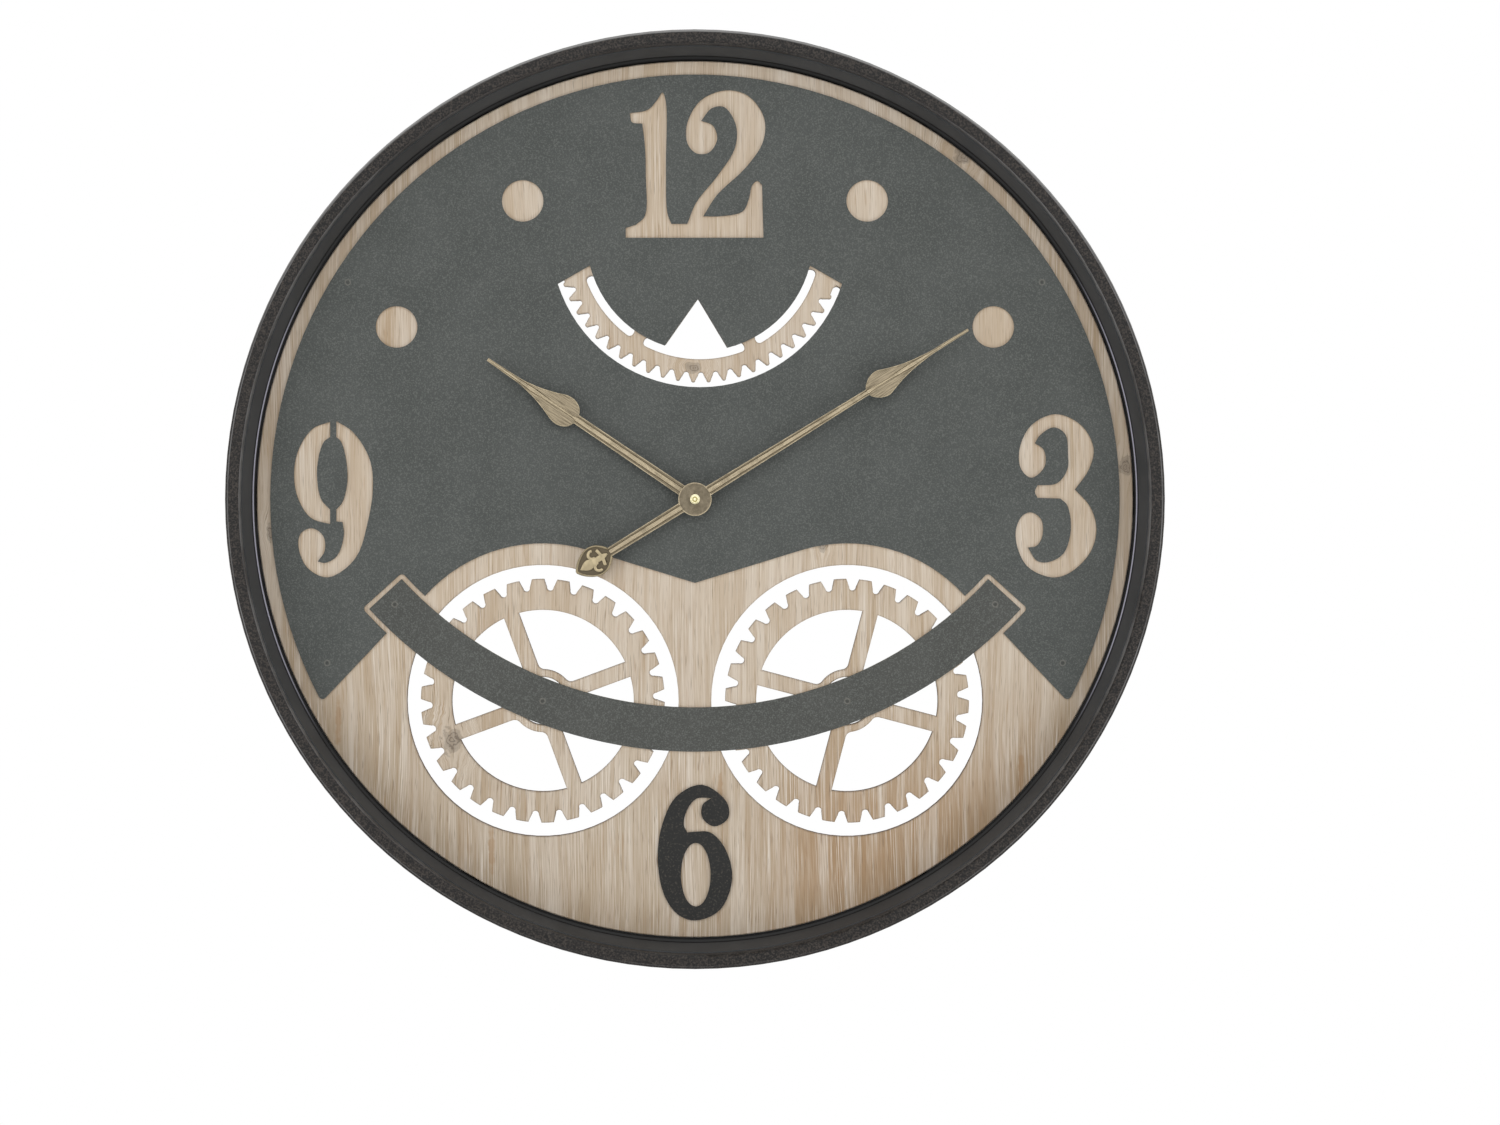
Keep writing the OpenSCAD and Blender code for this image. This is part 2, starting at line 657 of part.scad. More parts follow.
// Hollow steel ring: outer wall, flat crown with bent edges, sloping inner wall, throat and hem
module frame_ring() {
    color("#2b2a29")
        turned() {
            band(ring_r - ring_sheet, ring_r, 0, ring_depth - outer_round);
            band(ring_r - hem_w, ring_r, 0, hem_h);
            sheet_bend([ring_r - outer_round, ring_depth - outer_round], outer_round, true);
            band(crown_in_r + inner_round, ring_r - outer_round, ring_depth - ring_sheet, ring_depth);
            sheet_bend([crown_in_r + inner_round, ring_depth - inner_round], inner_round, false);
            polygon([[crown_in_r, ring_depth - inner_round], [crown_in_r, ledge_h],
                [crown_in_r - ledge_w, ledge_h], [throat_r + bead_w, bead_h],
                [throat_r, bead_h - bead_w / 2], [throat_r, throat_back],
                [throat_r + ring_sheet, throat_back], [throat_r + ring_sheet, bead_h - ring_sheet],
                [crown_in_r - ledge_w + ring_sheet, ledge_h - ring_sheet],
                [crown_in_r + ring_sheet, ledge_h - ring_sheet],
                [crown_in_r + ring_sheet, ring_depth - inner_round]]);
        }
}

// Tabs welded to the throat behind the panel
module panel_tabs() {
    color("#3a3938")
        layer(panel_back - tab_t, tab_t)
            for (a = tab_angles)
                rotate(a)
                    difference() {
                        intersection() {
                            circle(throat_r);
                            union() {
                                translate([screw_ring_r, -tab_w / 2])
                                    square([tab_l + past, tab_w]);
                                translate([screw_ring_r, 0])
                                    circle(tab_w / 2);
                            }
                        }
                        translate([screw_ring_r, 0])
                            circle(screw_r + hole_fit);
                    }
}

// Panhead screws that hold the panel to its tabs
module panel_screws() {
    head_r = 2 * screw_r;
    head_t = 1.4 * screw_r;
    seat = panel_back - tab_t;
    color("silver")
        for (a = tab_angles)
            turned(polar(screw_ring_r, a)) {
                band(0, screw_r, seat, panel_back + screw_depth);
                difference() {
                    band(0, head_r, seat - head_t, seat);
                    band(0, head_r / 3, seat - head_t - past, seat - head_t / 2);
                }
            }
}

// Steel strap across the back of the ring with a keyhole for the wall screw
module hanging_strap() {
    color("#4a4948")
        layer(strap_back, strap_t)
            difference() {
                intersection() {
                    circle(ring_r - hem_w);
                    translate([-ring_r, strap_z - strap_w / 2])
                        square([ring_d, strap_w]);
                }
                translate([0, strap_z - keyhole_r / 2])
                    circle(keyhole_r);
                translate([-keyhole_slot_w / 2, strap_z - keyhole_r / 2])
                    square([keyhole_slot_w, 2 * keyhole_r]);
                translate([0, strap_z + 1.5 * keyhole_r])
                    circle(keyhole_slot_w / 2);
            }
}

// Slot outside the rack's teeth, with the teeth left standing
module rack_slot() {
    pitch = 360 / rack_teeth;
    first = rack_mid - (rack_count - 1) / 2 * pitch;
    low = first - rack_reach * pitch;
    high = first + (rack_count - 1 + rack_reach) * pitch;
    tip_c = rack_tip_r - rack_tip_round;
    root_c = rack_root_r + rack_root_round;
    out_r = arch_out_r + past;
    end_round = (out_r - tip_c) / 2;
    polygon(distinct(concat(
        arc([0, 0], out_r, low, high, arc_steps),
        arc(polar(tip_c + end_round, high), end_round, high, high + 180, 2 * corner_steps),
        [for (k = [rack_count - 1 : -1 : 0])
            let (a = first + k * pitch)
            let (gap = a - pitch / 2)
            each concat(
                arc(polar(tip_c, a), rack_tip_round, a + 90, a - 90, corner_steps),
                k == 0 ? [] : arc(polar(root_c, gap), rack_root_round, gap + 90, gap + 270, corner_steps))],
        arc(polar(tip_c + end_round, low), end_round, low + 180, low + 360, 2 * corner_steps))));
}

// Pointer-shaped opening above the rack
module pointer_opening() {
    foot_z = -sqrt(arch_in_r * arch_in_r - pointer_half_w * pointer_half_w);
    base_z = -arch_in_r - past;
    translate([pointer_x - rack_x, 0])
        polygon([[-pointer_half_w, base_z], [pointer_half_w, base_z], [pointer_half_w, foot_z],
            [pointer_lean, foot_z + pointer_h], [-pointer_half_w, foot_z]]);
}

// Round timber panel with wheel windows, rack and pointer openings
module timber_panel() {
    color("#cdb9a2")
        difference() {
            layer(panel_back, panel_t)
                difference() {
                    circle(panel_r);
                    for (p = wheel_at)
                        translate(p)
                            circle(window_r);
                    translate([rack_x, rack_z]) {
                        rack_slot();
                        for (s = rack_slots)
                            arc_band(arch_in_r - past, rack_in_r, s[0], s[1], (rack_in_r - arch_in_r) / 2);
                        pointer_opening();
                    }
                    for (p = concat(dial_studs_at, bar_end_at))
                        translate(p)
                            circle(stud_r + hole_fit);
                    circle(bush_r + hole_fit);
                }
            for (a = tab_angles)
                turned(polar(screw_ring_r, a))
                    band(0, screw_r, panel_back - past, panel_back + screw_depth);
        }
}

// Region below the dial's lower edge: wheel bays, lower point, horns and the bar's slot
module dial_lower_cut() {
    bay = [wheel_x, wheel_z];
    to_vee = [0, vee_z] - bay;
    vee_turn = atan2(to_vee.y, to_vee.x) - acos(bay_r / norm(to_vee));
    touch = bay + polar(bay_r, vee_turn);
    root = [slot_out_r * sin(horn_root_angle), bar_z - slot_out_r * cos(horn_root_angle)];
    horn = polar(dial_r, -horn_angle);
    far = horn + 0.3 * (horn - root);
    along = (horn - root) / norm(horn - root);
    inward = [-along.y, along.x];
    start = root + horn_round * inward;
    run = sqrt(pow(dial_r - horn_round, 2) - pow(start * inward, 2)) - start * along;
    tip = start + run * along;
    for (p = wheel_at)
        translate(p)
            circle(bay_r);
    polygon([[0, vee_z], touch, [wheel_x, -ring_r], [-wheel_x, -ring_r], [-touch.x, touch.y]]);
    polygon([root, far, [far.x, -ring_r], [-far.x, -ring_r], [-far.x, far.y], [-root.x, root.y]]);
    for (side = [0, 1])
        mirror([side, 0])
            difference() {
                polygon([tip, tip - (horn_round + past) * inward, 2 * horn - tip,
                    tip * (dial_r + past) / norm(tip)]);
                translate(tip)
                    circle(horn_round);
            }
    translate([0, bar_z])
        rotate(-90)
            arc_band(bar_in_r - bar_gap, slot_out_r, -slot_half_angle, slot_half_angle, bar_gap_round);
}

// Numerals and marks that are cut through the dial
module dial_cut_outs() {
    side = numeral_h / side_numeral_drawn_h;
    in_end = polar(arch_in_r, -arch_in_end);
    out_end = polar(arch_out_r, -arch_out_end);
    low = in_end - 0.2 * (out_end - in_end);
    high = out_end + 0.2 * (out_end - in_end);
    foot = -arch_out_r - past;
    for (a = [30, 60, 120, 150])
        rotate(a)
            translate([mark_ring_r, 0])
                circle(mark_d / 2);
    translate([-side_numeral_x, 0]) {
        polygon(side * outline(nine_left));
        polygon(side * outline(nine_right));
    }
    translate([side_numeral_x, three_z])
        polygon(side * outline(three));
    translate([0, twelve_z])
        polygon(twelve_h / twelve_drawn_h * outline(twelve));
    translate([rack_x, rack_z]) {
        difference() {
            intersection() {
                circle(arch_out_r);
                polygon([low, high, [high.x, foot], [-high.x, foot], [-high.x, high.y], [-low.x, low.y]]);
            }
            circle(arch_in_r);
        }
        pointer_opening();
    }
}

// Dark dial sheet with its cut-outs
module dial_sheet() {
    color("#5a5d5b")
        layer(panel_front, dial_t)
            difference() {
                circle(dial_r);
                dial_lower_cut();
                dial_cut_outs();
                circle(bush_r + hole_fit);
            }
}

// Studs welded to the back of the dial sheet
module dial_studs() {
    color("#8a8a88")
        for (p = dial_studs_at)
            turned(p)
                band(0, stud_r, panel_front - stud_l, panel_front);
}

// Curved bar that crosses the two wooden wheels
module curved_bar() {
    color("#5a5d5b")
        layer(panel_front, dial_t)
            translate([0, bar_z])
                rotate(-90)
                    difference() {
                        intersection() {
                            circle(bar_out_r);
                            sector(bar_out_r + past, -bar_half_angle, bar_half_angle);
                        }
                        circle(bar_in_r);
                    }
}

// Studs welded to the back of the bar, at its ends and at the wheels' centres
module bar_studs() {
    color("#8a8a88")
        for (p = concat(bar_end_at, wheel_at))
            turned(p)
                band(0, stud_r, panel_front - stud_l, panel_front);
}

// Hexagon nuts of all welded studs
module stud_nuts() {
    module nut(at, seat) {
        layer(seat - stud_nut_t, stud_nut_t)
            translate(at)
                difference() {
                    hexagon(stud_nut_af);
                    circle(stud_r);
                }
    }
    color("#a9a9a6") {
        for (p = concat(dial_studs_at, bar_end_at))
            nut(p, panel_back);
        for (p = wheel_at)
            nut(p, panel_back - clamp_t);
    }
}

// Wooden wheel: toothed rim, four spokes and a ring-shaped hub
module wheel_shape() {
    pitch = 360 / wheel_teeth;
    gap_w = 2 * PI * wheel_tip_r / wheel_teeth - tooth_tip_w;
    reach_r = wheel_hub_r + spoke_fillet;
    offset_w = spoke_w / 2 + spoke_fillet;
    fillet_x = sqrt(reach_r * reach_r - offset_w * offset_w);
    difference() {
        circle(wheel_tip_r);
        for (k = [0 : wheel_teeth - 1])
            rotate((k + 0.5) * pitch)
                tooth_gap(wheel_root_r, wheel_tip_r, tooth_gap_w, gap_w);
        circle(wheel_rim_r);
    }
    difference() {
        union() {
            circle(wheel_hub_r);
            for (a = [0 : 90 : 270])
                rotate(a) {
                    translate([0, -spoke_w / 2])
                        square([wheel_rim_r + past, spoke_w]);
                    difference() {
                        translate([0, -offset_w])
                            square([fillet_x, 2 * offset_w]);
                        for (side = [-1, 1])
                            translate([fillet_x, side * offset_w])
                                circle(spoke_fillet);
                        rotate(atan2(offset_w, fillet_x))
                            square([reach_r, reach_r]);
                        mirror([0, 1])
                            rotate(atan2(offset_w, fillet_x))
                                square([reach_r, reach_r]);
                    }
                }
        }
        circle(wheel_bore_r);
    }
}

module wooden_wheel(at, turn) {
    color("#cdb9a2")
        layer(panel_back, panel_t)
            translate(at)
                rotate(turn)
                    wheel_shape();
}

module left_wheel() {
    wooden_wheel(wheel_at[0], left_turn);
}

module right_wheel() {
    wooden_wheel(wheel_at[1], right_turn);
}

// Steel strips behind the wheels' hubs, in line with the bar that hides them
module wheel_clamps() {
    color("#4a4948")
        for (s = [-1, 1])
            layer(panel_back - clamp_t, clamp_t)
                translate(bar_point(s * wheel_angle))
                    rotate(s * wheel_angle)
                        difference() {
                            intersection() {
                                circle(wheel_hub_r - hole_fit);
                                translate([-wheel_hub_r, -clamp_w / 2])
                                    square([2 * wheel_hub_r, clamp_w]);
                            }
                            circle(stud_r + hole_fit);
                        }
}

// Dark numeral six fixed to the timber
module numeral_six() {
    k = six_h / six_drawn_h;
    color("#302e2e")
        layer(panel_front, dial_t)
            translate([0, six_z])
                difference() {
                    polygon(k * outline(six));
                    polygon([for (a = [0 : 10 : 350])
                        k * (six_counter_at + [six_counter.x * cos(a), six_counter.y * sin(a)])]);
                }
}

// Outline of the movement case, about the hands' axis
module case_plan(inset) {
    translate([-case_w / 2 + inset, case_top - case_h + inset])
        square([case_w - 2 * inset, case_h - 2 * inset]);
}

// Moulded case, open at the back, with a bay for the battery
module movement_case() {
    color("#1d1d1f")
        difference() {
            layer(case_back, case_depth)
                case_plan(0);
            layer(case_back - past, case_depth - case_wall + past)
                difference() {
                    case_plan(case_wall);
                    translate([-case_w / 2, divider_z - case_wall])
                        square([case_w, case_wall]);
                }
            layer(case_inner_front - past, case_wall + 2 * past)
                circle(bush_r + hole_fit);
            layer(case_inner_front - past, past + case_wall / 2)
                translate([-motion_c, 0])
                    circle(pivot_r + running_fit);
        }
}

// Flat rear cover of the wheel compartment, with the arbor's bearing and a hole for the setting stem
module movement_cover() {
    color("#1d1d1f")
        difference() {
            union() {
                layer(case_back - cover_t, cover_t)
                    translate([-case_w / 2, divider_z - case_wall])
                        square([case_w, case_top - divider_z + case_wall]);
                layer(case_back, bearing_t)
                    circle(bearing_r);
            }
            layer(case_back - cover_t / 2, cover_t / 2 + bearing_t + past)
                circle(pivot_r + running_fit);
            layer(case_back - cover_t - past, cover_t + 2 * past)
                translate([-motion_c, 0])
                    circle(stem_r + running_fit);
        }
}

// Soft washer between the case and the panel
module rubber_washer() {
    color("#26262a")
        turned()
            band(bush_r + hole_fit, rubber_d / 2, case_front, panel_back);
}

// Threaded bush that clamps the movement to the dial
module threaded_bush() {
    color("#b08d4a")
        turned() {
            band(tube_r + running_fit, bush_r, case_inner_front - bush_flange_t, bush_front);
            band(tube_r + running_fit, bush_flange_r, case_inner_front - bush_flange_t, case_inner_front);
        }
}

module brass_washer() {
    color("#b08d4a")
        turned()
            band(bush_r + hole_fit, washer_d / 2, dial_front, dial_front + washer_t);
}

module bush_nut() {
    color("#b08d4a")
        layer(dial_front + washer_t, bush_nut_t)
            difference() {
                hexagon(bush_nut_af);
                circle(bush_r);
            }
}

// Round cell lying in the case's bay, with its button to the right
module battery() {
    color("#3d5a4a")
        translate([-case_w / 2 + case_wall + contact_room, wall_y - cell_h, cell_z])
            rotate([0, 90, 0]) {
                cylinder(h = cell_l, r = cell_d / 2);
                cylinder(h = cell_l + cell_nub_l, r = cell_nub_r);
            }
}

// Sprung sheet contacts at the two ends of the bay
module battery_contacts() {
    left = -case_w / 2 + case_wall;
    button_x = left + contact_room + cell_l + cell_nub_l;
    color("silver") {
        translate([left, wall_y - cell_h, cell_z])
            rotate([0, 90, 0]) {
                translate([-cell_d / 4, -cell_d / 3, 0])
                    cube([cell_d / 2, 2 * cell_d / 3, contact_t]);
                cylinder(h = contact_room, r = cell_nub_r);
            }
        translate([button_x, wall_y - cell_h, cell_z])
            rotate([0, 90, 0])
                translate([-cell_d / 4, -cell_d / 3, 0])
                    cube([cell_d / 2, 2 * cell_d / 3, case_w / 2 - case_wall - button_x]);
    }
}

// Closed block that holds the motor's rotor and reduction wheels
module drive_unit() {
    color("#d8d4c8")
        layer(case_back + drive_lift, drive_t)
            difference() {
                translate([drive_x, drive_z])
                    square([case_w / 2 - case_wall - drive_x, drive_w]);
                circle(centre_module * (centre_teeth / 2 + tip_share) + pass_gap);
            }
}

// Coil of the stepping motor on its bobbin, along the top of the case
module motor_coil() {
    coil_r = 2.6;
    cheek = 3.2;
    cheek_t = 1.2;
    coil_l = 26;
    color("#a8663a")
        translate([-8, wall_y - case_back - cover_t - cheek, case_top - case_wall - cheek])
            rotate([0, 90, 0]) {
                cylinder(h = coil_l, r = coil_r);
                for (x = [0, coil_l - cheek_t])
                    translate([-cheek, -cheek, x])
                        cube([2 * cheek, 2 * cheek, cheek_t]);
            }
}

// Small board under the drive block, against the case's front wall
module circuit_board() {
    color("#2f5d3a")
        layer(case_inner_front - board_t, board_t)
            translate([board_x, board_z])
                square([case_w / 2 - case_wall - board_x, board_w]);
}

// Minute arbor with its cannon pinion and the threaded end for the hand nut
module minute_arbor() {
    shoulder = case_back + bearing_t + end_play;
    cannon_lap = 0.4;
    color("#c8a860") {
        turned() {
            band(0, pivot_r, case_back - cover_t / 2 + end_play, shoulder);
            band(0, arbor_r, shoulder, minute_back);
            band(0, thread_r, minute_back, minute_front + hand_nut_t + thread_over);
        }
        layer(minute_wheel_back - cannon_lap, minute_wheel_t + 2 * cannon_lap)
            fine_gear(motion_module, cannon_teeth);
    }
}

// Wheel that the motor drives, carried on the minute arbor
module centre_wheel() {
    window_ring_r = 5.6;
    hole_r = 2;
    color("#c8a860")
        layer(centre_wheel_back, centre_wheel_t)
            difference() {
                fine_gear(centre_module, centre_teeth);
                circle(arbor_r);
                for (a = [0 : 90 : 270])
                    rotate(a)
                        translate([window_ring_r, 0])
                            circle(hole_r);
            }
}

// Motion-work wheel with its pinion and the stem of the setting knob
module motion_wheel() {
    pinion_back = minute_wheel_back + minute_wheel_t;
    color("#e6e2d6") {
        layer(minute_wheel_back, minute_wheel_t)
            translate([-motion_c, 0])
                rotate(180 / minute_teeth)
                    fine_gear(motion_module, minute_teeth);
        layer(pinion_back, hour_wheel_back + hour_wheel_t - pinion_back)
            translate([-motion_c, 0])
                fine_gear(hour_module, pinion_teeth);
        turned([-motion_c, 0]) {
            band(0, stem_r, case_back - cover_t - pass_gap - knob_t, minute_wheel_back);
            band(0, pivot_r, hour_wheel_back, case_inner_front + case_wall / 2 - end_play);
        }
    }
}

// Fluted knob at the back that sets the hands
module setting_knob() {
    flute_r = 0.7;
    color("#1d1d1f")
        layer(case_back - cover_t - pass_gap - knob_t, knob_t)
            translate([-motion_c, 0])
                difference() {
                    circle(knob_d / 2);
                    for (a = [0 : 15 : 345])
                        rotate(a)
                            translate([knob_d / 2 + flute_r / 2, 0])
                                circle(flute_r);
                    circle(stem_r);
                }
}

// Hour wheel and its tube
module hour_wheel() {
    color("#e6e2d6")
        difference() {
            union() {
                layer(hour_wheel_back, hour_wheel_t)
                    rotate(180 / hour_teeth)
                        fine_gear(hour_module, hour_teeth);
                turned()
                    band(0, tube_r, hour_wheel_back, hour_back + hand_t);
            }
            turned()
                band(0, arbor_r + running_fit, hour_wheel_back - past, hour_back + hand_t + past);
        }
}

// Stations of a hand with its curves drawn out
function drawn(points) = concat(open_curve(points), [points[len(points) - 1]]);

// Hour hand: hub disc, ridged stem and spade
module hour_hand() {
    color("#8a7a54")
        difference() {
            union() {
                layer(hour_back, hand_t)
                    circle(hour_hub_d / 2);
                hand_at(hour_back, hour_angle)
                    ridged_strip(drawn(hour_outline), hand_t, ridge_h);
            }
            turned()
                band(0, tube_r, hour_back - past, hour_front + past);
        }
}

// Collet that grips the hour tube behind the hour hand
module hour_collet() {
    collet_w = 1.5;
    color("#b08d4a")
        turned()
            band(tube_r, tube_r + collet_w, bush_front + pass_gap, hour_back);
}

// Minute hand: hub disc, ridged stem with its spade, and the tail stem
module minute_hand() {
    color("#8a7a54")
        difference() {
            union() {
                layer(minute_back, hand_t)
                    circle(minute_hub_d / 2);
                hand_at(minute_back, minute_angle)
                    ridged_strip(drawn(minute_outline), hand_t, ridge_h);
                hand_at(minute_back, minute_angle + 180)
                    ridged_strip(drawn(tail_outline), hand_t, ridge_h);
            }
            turned()
                band(0, thread_r, minute_back - past, minute_front + ridge_h + past);
        }
}

// Both sides of an outline given by half widths at distances, moved in by an inset all round
function leaf_points(halves, inset) =
    let (low = halves[0][0])
    let (high = halves[len(halves) - 1][0])
    let (k = 1 - 2 * inset / (high - low))
    let (mid = (low + high) / 2)
    let (half = [for (p = drawn(halves)) if (p[1] > inset + 0.3) [p[1] - inset, mid + (p[0] - mid) * k]])
    concat(half, [for (i = [len(half) - 1 : -1 : 0]) [-half[i][0], half[i][1]]]);

// Lily on the tail leaf: a middle petal, two curled petals with round eyes and a tie below them
module lily(eye_at, eye_r) {
    curl_w = 2.2;
    curl_round = 0.7;
    tie_r = 20;
    tie_w = 2.4;
    tie_half_turn = 19;
    tie_at = 78.6;
    polygon(leaf_points(petal_outline, 0));
    for (side = [0, 1])
        mirror([side, 0])
            translate(eye_at)
                arc_band(eye_r, eye_r + curl_w, -32, 204, curl_round);
    translate([0, tie_at + tie_r])
        arc_band(tie_r - tie_w / 2, tie_r + tie_w / 2, 270 - tie_half_turn, 270 + tie_half_turn, curl_round);
}

// Cast leaf at the end of the tail: raised rim and a lily on a lower field
module tail_leaf() {
    rim = 1.3;
    lily_rise = 0.5;
    eye_at = [4.9, 84.1];
    eye_r = 1.7;
    color("#7d6f4e")
        hand_at(minute_back, minute_angle + 180)
            rotate([90, 0, 0])
                difference() {
                    union() {
                        difference() {
                            linear_extrude(hand_t + ridge_h)
                                polygon(leaf_points(leaf_outline, 0));
                            translate([0, 0, hand_t - hand_dip])
                                linear_extrude(ridge_h + hand_dip + past)
                                    polygon(leaf_points(leaf_outline, rim));
                        }
                        linear_extrude(hand_t + ridge_h + lily_rise)
                            lily(eye_at, eye_r);
                    }
                    translate([-minute_hub_d, 0, -past])
                        cube([2 * minute_hub_d, tail_end, hand_t + ridge_h + 2 * past]);
                }
}

// Round brass nut on the threaded end of the minute arbor
module hand_nut() {
    nut_groove = 0.6;
    color("#c9ac62")
        turned()
            difference() {
                band(thread_r, hand_nut_d / 2, minute_front, minute_front + hand_nut_t);
                translate([hand_nut_d / 2, minute_front + hand_nut_t])
                    circle(nut_groove);
            }
}

frame_ring();
panel_tabs();
panel_screws();
hanging_strap();
timber_panel();
dial_sheet();
dial_studs();
curved_bar();
bar_studs();
stud_nuts();
left_wheel();
right_wheel();
wheel_clamps();
numeral_six();
movement_case();
movement_cover();
rubber_washer();
threaded_bush();
brass_washer();
bush_nut();
battery();
battery_contacts();
drive_unit();
motor_coil();
circuit_board();
minute_arbor();
centre_wheel();
motion_wheel();
setting_knob();
hour_wheel();
hour_hand();
hour_collet();
minute_hand();
tail_leaf();
hand_nut();
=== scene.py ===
import bpy
import bmesh
import math
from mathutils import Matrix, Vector


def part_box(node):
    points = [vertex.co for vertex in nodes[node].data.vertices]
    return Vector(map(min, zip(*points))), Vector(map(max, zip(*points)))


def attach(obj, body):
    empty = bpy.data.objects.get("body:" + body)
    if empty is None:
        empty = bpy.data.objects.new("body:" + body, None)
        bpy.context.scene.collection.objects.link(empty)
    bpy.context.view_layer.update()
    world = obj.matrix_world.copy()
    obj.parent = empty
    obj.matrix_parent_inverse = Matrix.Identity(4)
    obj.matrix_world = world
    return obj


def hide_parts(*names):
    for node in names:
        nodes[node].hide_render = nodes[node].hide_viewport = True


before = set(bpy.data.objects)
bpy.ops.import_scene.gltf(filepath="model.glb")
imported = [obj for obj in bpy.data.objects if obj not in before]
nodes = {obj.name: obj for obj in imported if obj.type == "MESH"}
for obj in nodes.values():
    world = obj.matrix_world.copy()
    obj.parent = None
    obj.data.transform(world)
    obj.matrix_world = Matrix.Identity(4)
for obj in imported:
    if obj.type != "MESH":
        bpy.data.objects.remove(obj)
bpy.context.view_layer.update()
print("frame loaded:", len(nodes), "nodes")

mm = 0.001
noiseRange = (0.3, 0.7)  # nearly all values of a noise lie between these


# steps for shader trees

def tone(color):
    # colour as read from a picture, 0 to 255, made linear
    def linear(value):
        value /= 255
        return value / 12.92 if value <= 0.04045 else ((value + 0.055) / 1.055) ** 2.4
    return (*[linear(value) for value in color], 1)


def feed(tree, socket, value):
    # links another socket or sets a plain value
    if hasattr(value, "is_linked"):
        tree.links.new(value, socket)
    elif value is not None:
        socket.default_value = value


def calc(tree, operation, *values):
    step = tree.nodes.new("ShaderNodeMath")
    step.operation = operation
    for socket, value in zip(step.inputs, values):
        feed(tree, socket, value)
    return step.outputs[0]


def plus(tree, a, b):
    return calc(tree, "ADD", a, b)


def minus(tree, a, b):
    return calc(tree, "SUBTRACT", a, b)


def times(tree, a, b):
    return calc(tree, "MULTIPLY", a, b)


def most(tree, a, b):
    return calc(tree, "MAXIMUM", a, b)


def size(tree, value):
    return calc(tree, "ABSOLUTE", value)


def distance(tree, across, up):
    return calc(tree, "SQRT", plus(tree, times(tree, across, across), times(tree, up, up)))


def vectorCalc(tree, operation, a, b=None):
    step = tree.nodes.new("ShaderNodeVectorMath")
    step.operation = operation
    feed(tree, step.inputs[0], a)
    feed(tree, step.inputs[1], b)
    return step.outputs["Value" if operation in ("DOT_PRODUCT", "LENGTH") else "Vector"]


def split(tree, vector):
    step = tree.nodes.new("ShaderNodeSeparateXYZ")
    feed(tree, step.inputs[0], vector)
    return step.outputs


def join(tree, x, y, z):
    step = tree.nodes.new("ShaderNodeCombineXYZ")
    for socket, value in zip(step.inputs, (x, y, z)):
        feed(tree, socket, value)
    return step.outputs[0]


def span(tree, value, low, high, start=0.0, end=1.0, smooth=True):
    # goes from start to end while the value goes from low to high
    step = tree.nodes.new("ShaderNodeMapRange")
    step.interpolation_type = "SMOOTHSTEP" if smooth else "LINEAR"
    for socket, setting in zip(step.inputs, (value, low, high, start, end)):
        feed(tree, socket, setting)
    return step.outputs[0]


def ramp(tree, value, low, high, start=0.0, end=1.0):
    # the same with low and high in mm
    return span(tree, value, low * mm, high * mm, start, end)


def blend(tree, factor, a, b):
    step = tree.nodes.new("ShaderNodeMix")
    step.data_type = "RGBA"
    feed(tree, step.inputs[0], factor)
    feed(tree, step.inputs[6], a)
    feed(tree, step.inputs[7], b)
    return step.outputs[2]


def noise(tree, vector, scale=1.0, detail=2.0, rough=0.5):
    step = tree.nodes.new("ShaderNodeTexNoise")
    for label, value in (("Vector", vector), ("Scale", scale), ("Detail", detail), ("Roughness", rough)):
        feed(tree, step.inputs[label], value)
    return step.outputs[0]


def cells(tree, vector, scale, feature, chance=1.0):
    step = tree.nodes.new("ShaderNodeTexVoronoi")
    step.feature = feature
    for label, value in (("Vector", vector), ("Scale", scale), ("Randomness", chance)):
        feed(tree, step.inputs[label], value)
    return step.outputs["Distance"]


def facing(tree):
    # sideways, front to back and upright share of the way a face looks
    return split(tree, tree.nodes.new("ShaderNodeNewGeometry").outputs["Normal"])


def cutEdge(tree):
    # 1 on walls, 0 on faces that look to the front or the back
    return span(tree, size(tree, facing(tree)[1]), 0.75, 0.45)


def newGroup(name, inputs, outputs):
    group = bpy.data.node_groups.new(name, "ShaderNodeTree")
    for label, kind, value in inputs:
        socket = group.interface.new_socket(label, in_out="INPUT", socket_type="NodeSocket" + kind)
        if value is not None:
            socket.default_value = value
    for label, kind in outputs:
        group.interface.new_socket(label, in_out="OUTPUT", socket_type="NodeSocket" + kind)
    return group, group.nodes.new("NodeGroupInput").outputs, group.nodes.new("NodeGroupOutput").inputs


def useGroup(tree, group, values):
    step = tree.nodes.new("ShaderNodeGroup")
    step.node_tree = group
    for label, value in values.items():
        feed(tree, step.inputs[label], value)
    return step.outputs


def newMaterial(name, **sockets):
    # Principled shader; values that are the same all over go straight on its sockets
    material = bpy.data.materials.new(name)
    material.use_nodes = True
    tree = material.node_tree
    shader = tree.nodes["Principled BSDF"]
    for label, value in sockets.items():
        shader.inputs[label.replace("_", " ")].default_value = value
    place = tree.nodes.new("ShaderNodeTexCoord").outputs["Object"]
    return material, tree, shader.inputs, place


def bump(tree, shader, height, depth, strength):
    # depth in mm
    step = tree.nodes.new("ShaderNodeBump")
    step.inputs["Strength"].default_value = strength
    step.inputs["Distance"].default_value = depth * mm
    feed(tree, step.inputs["Height"], height)
    feed(tree, shader["Normal"], step.outputs[0])


# shared effects

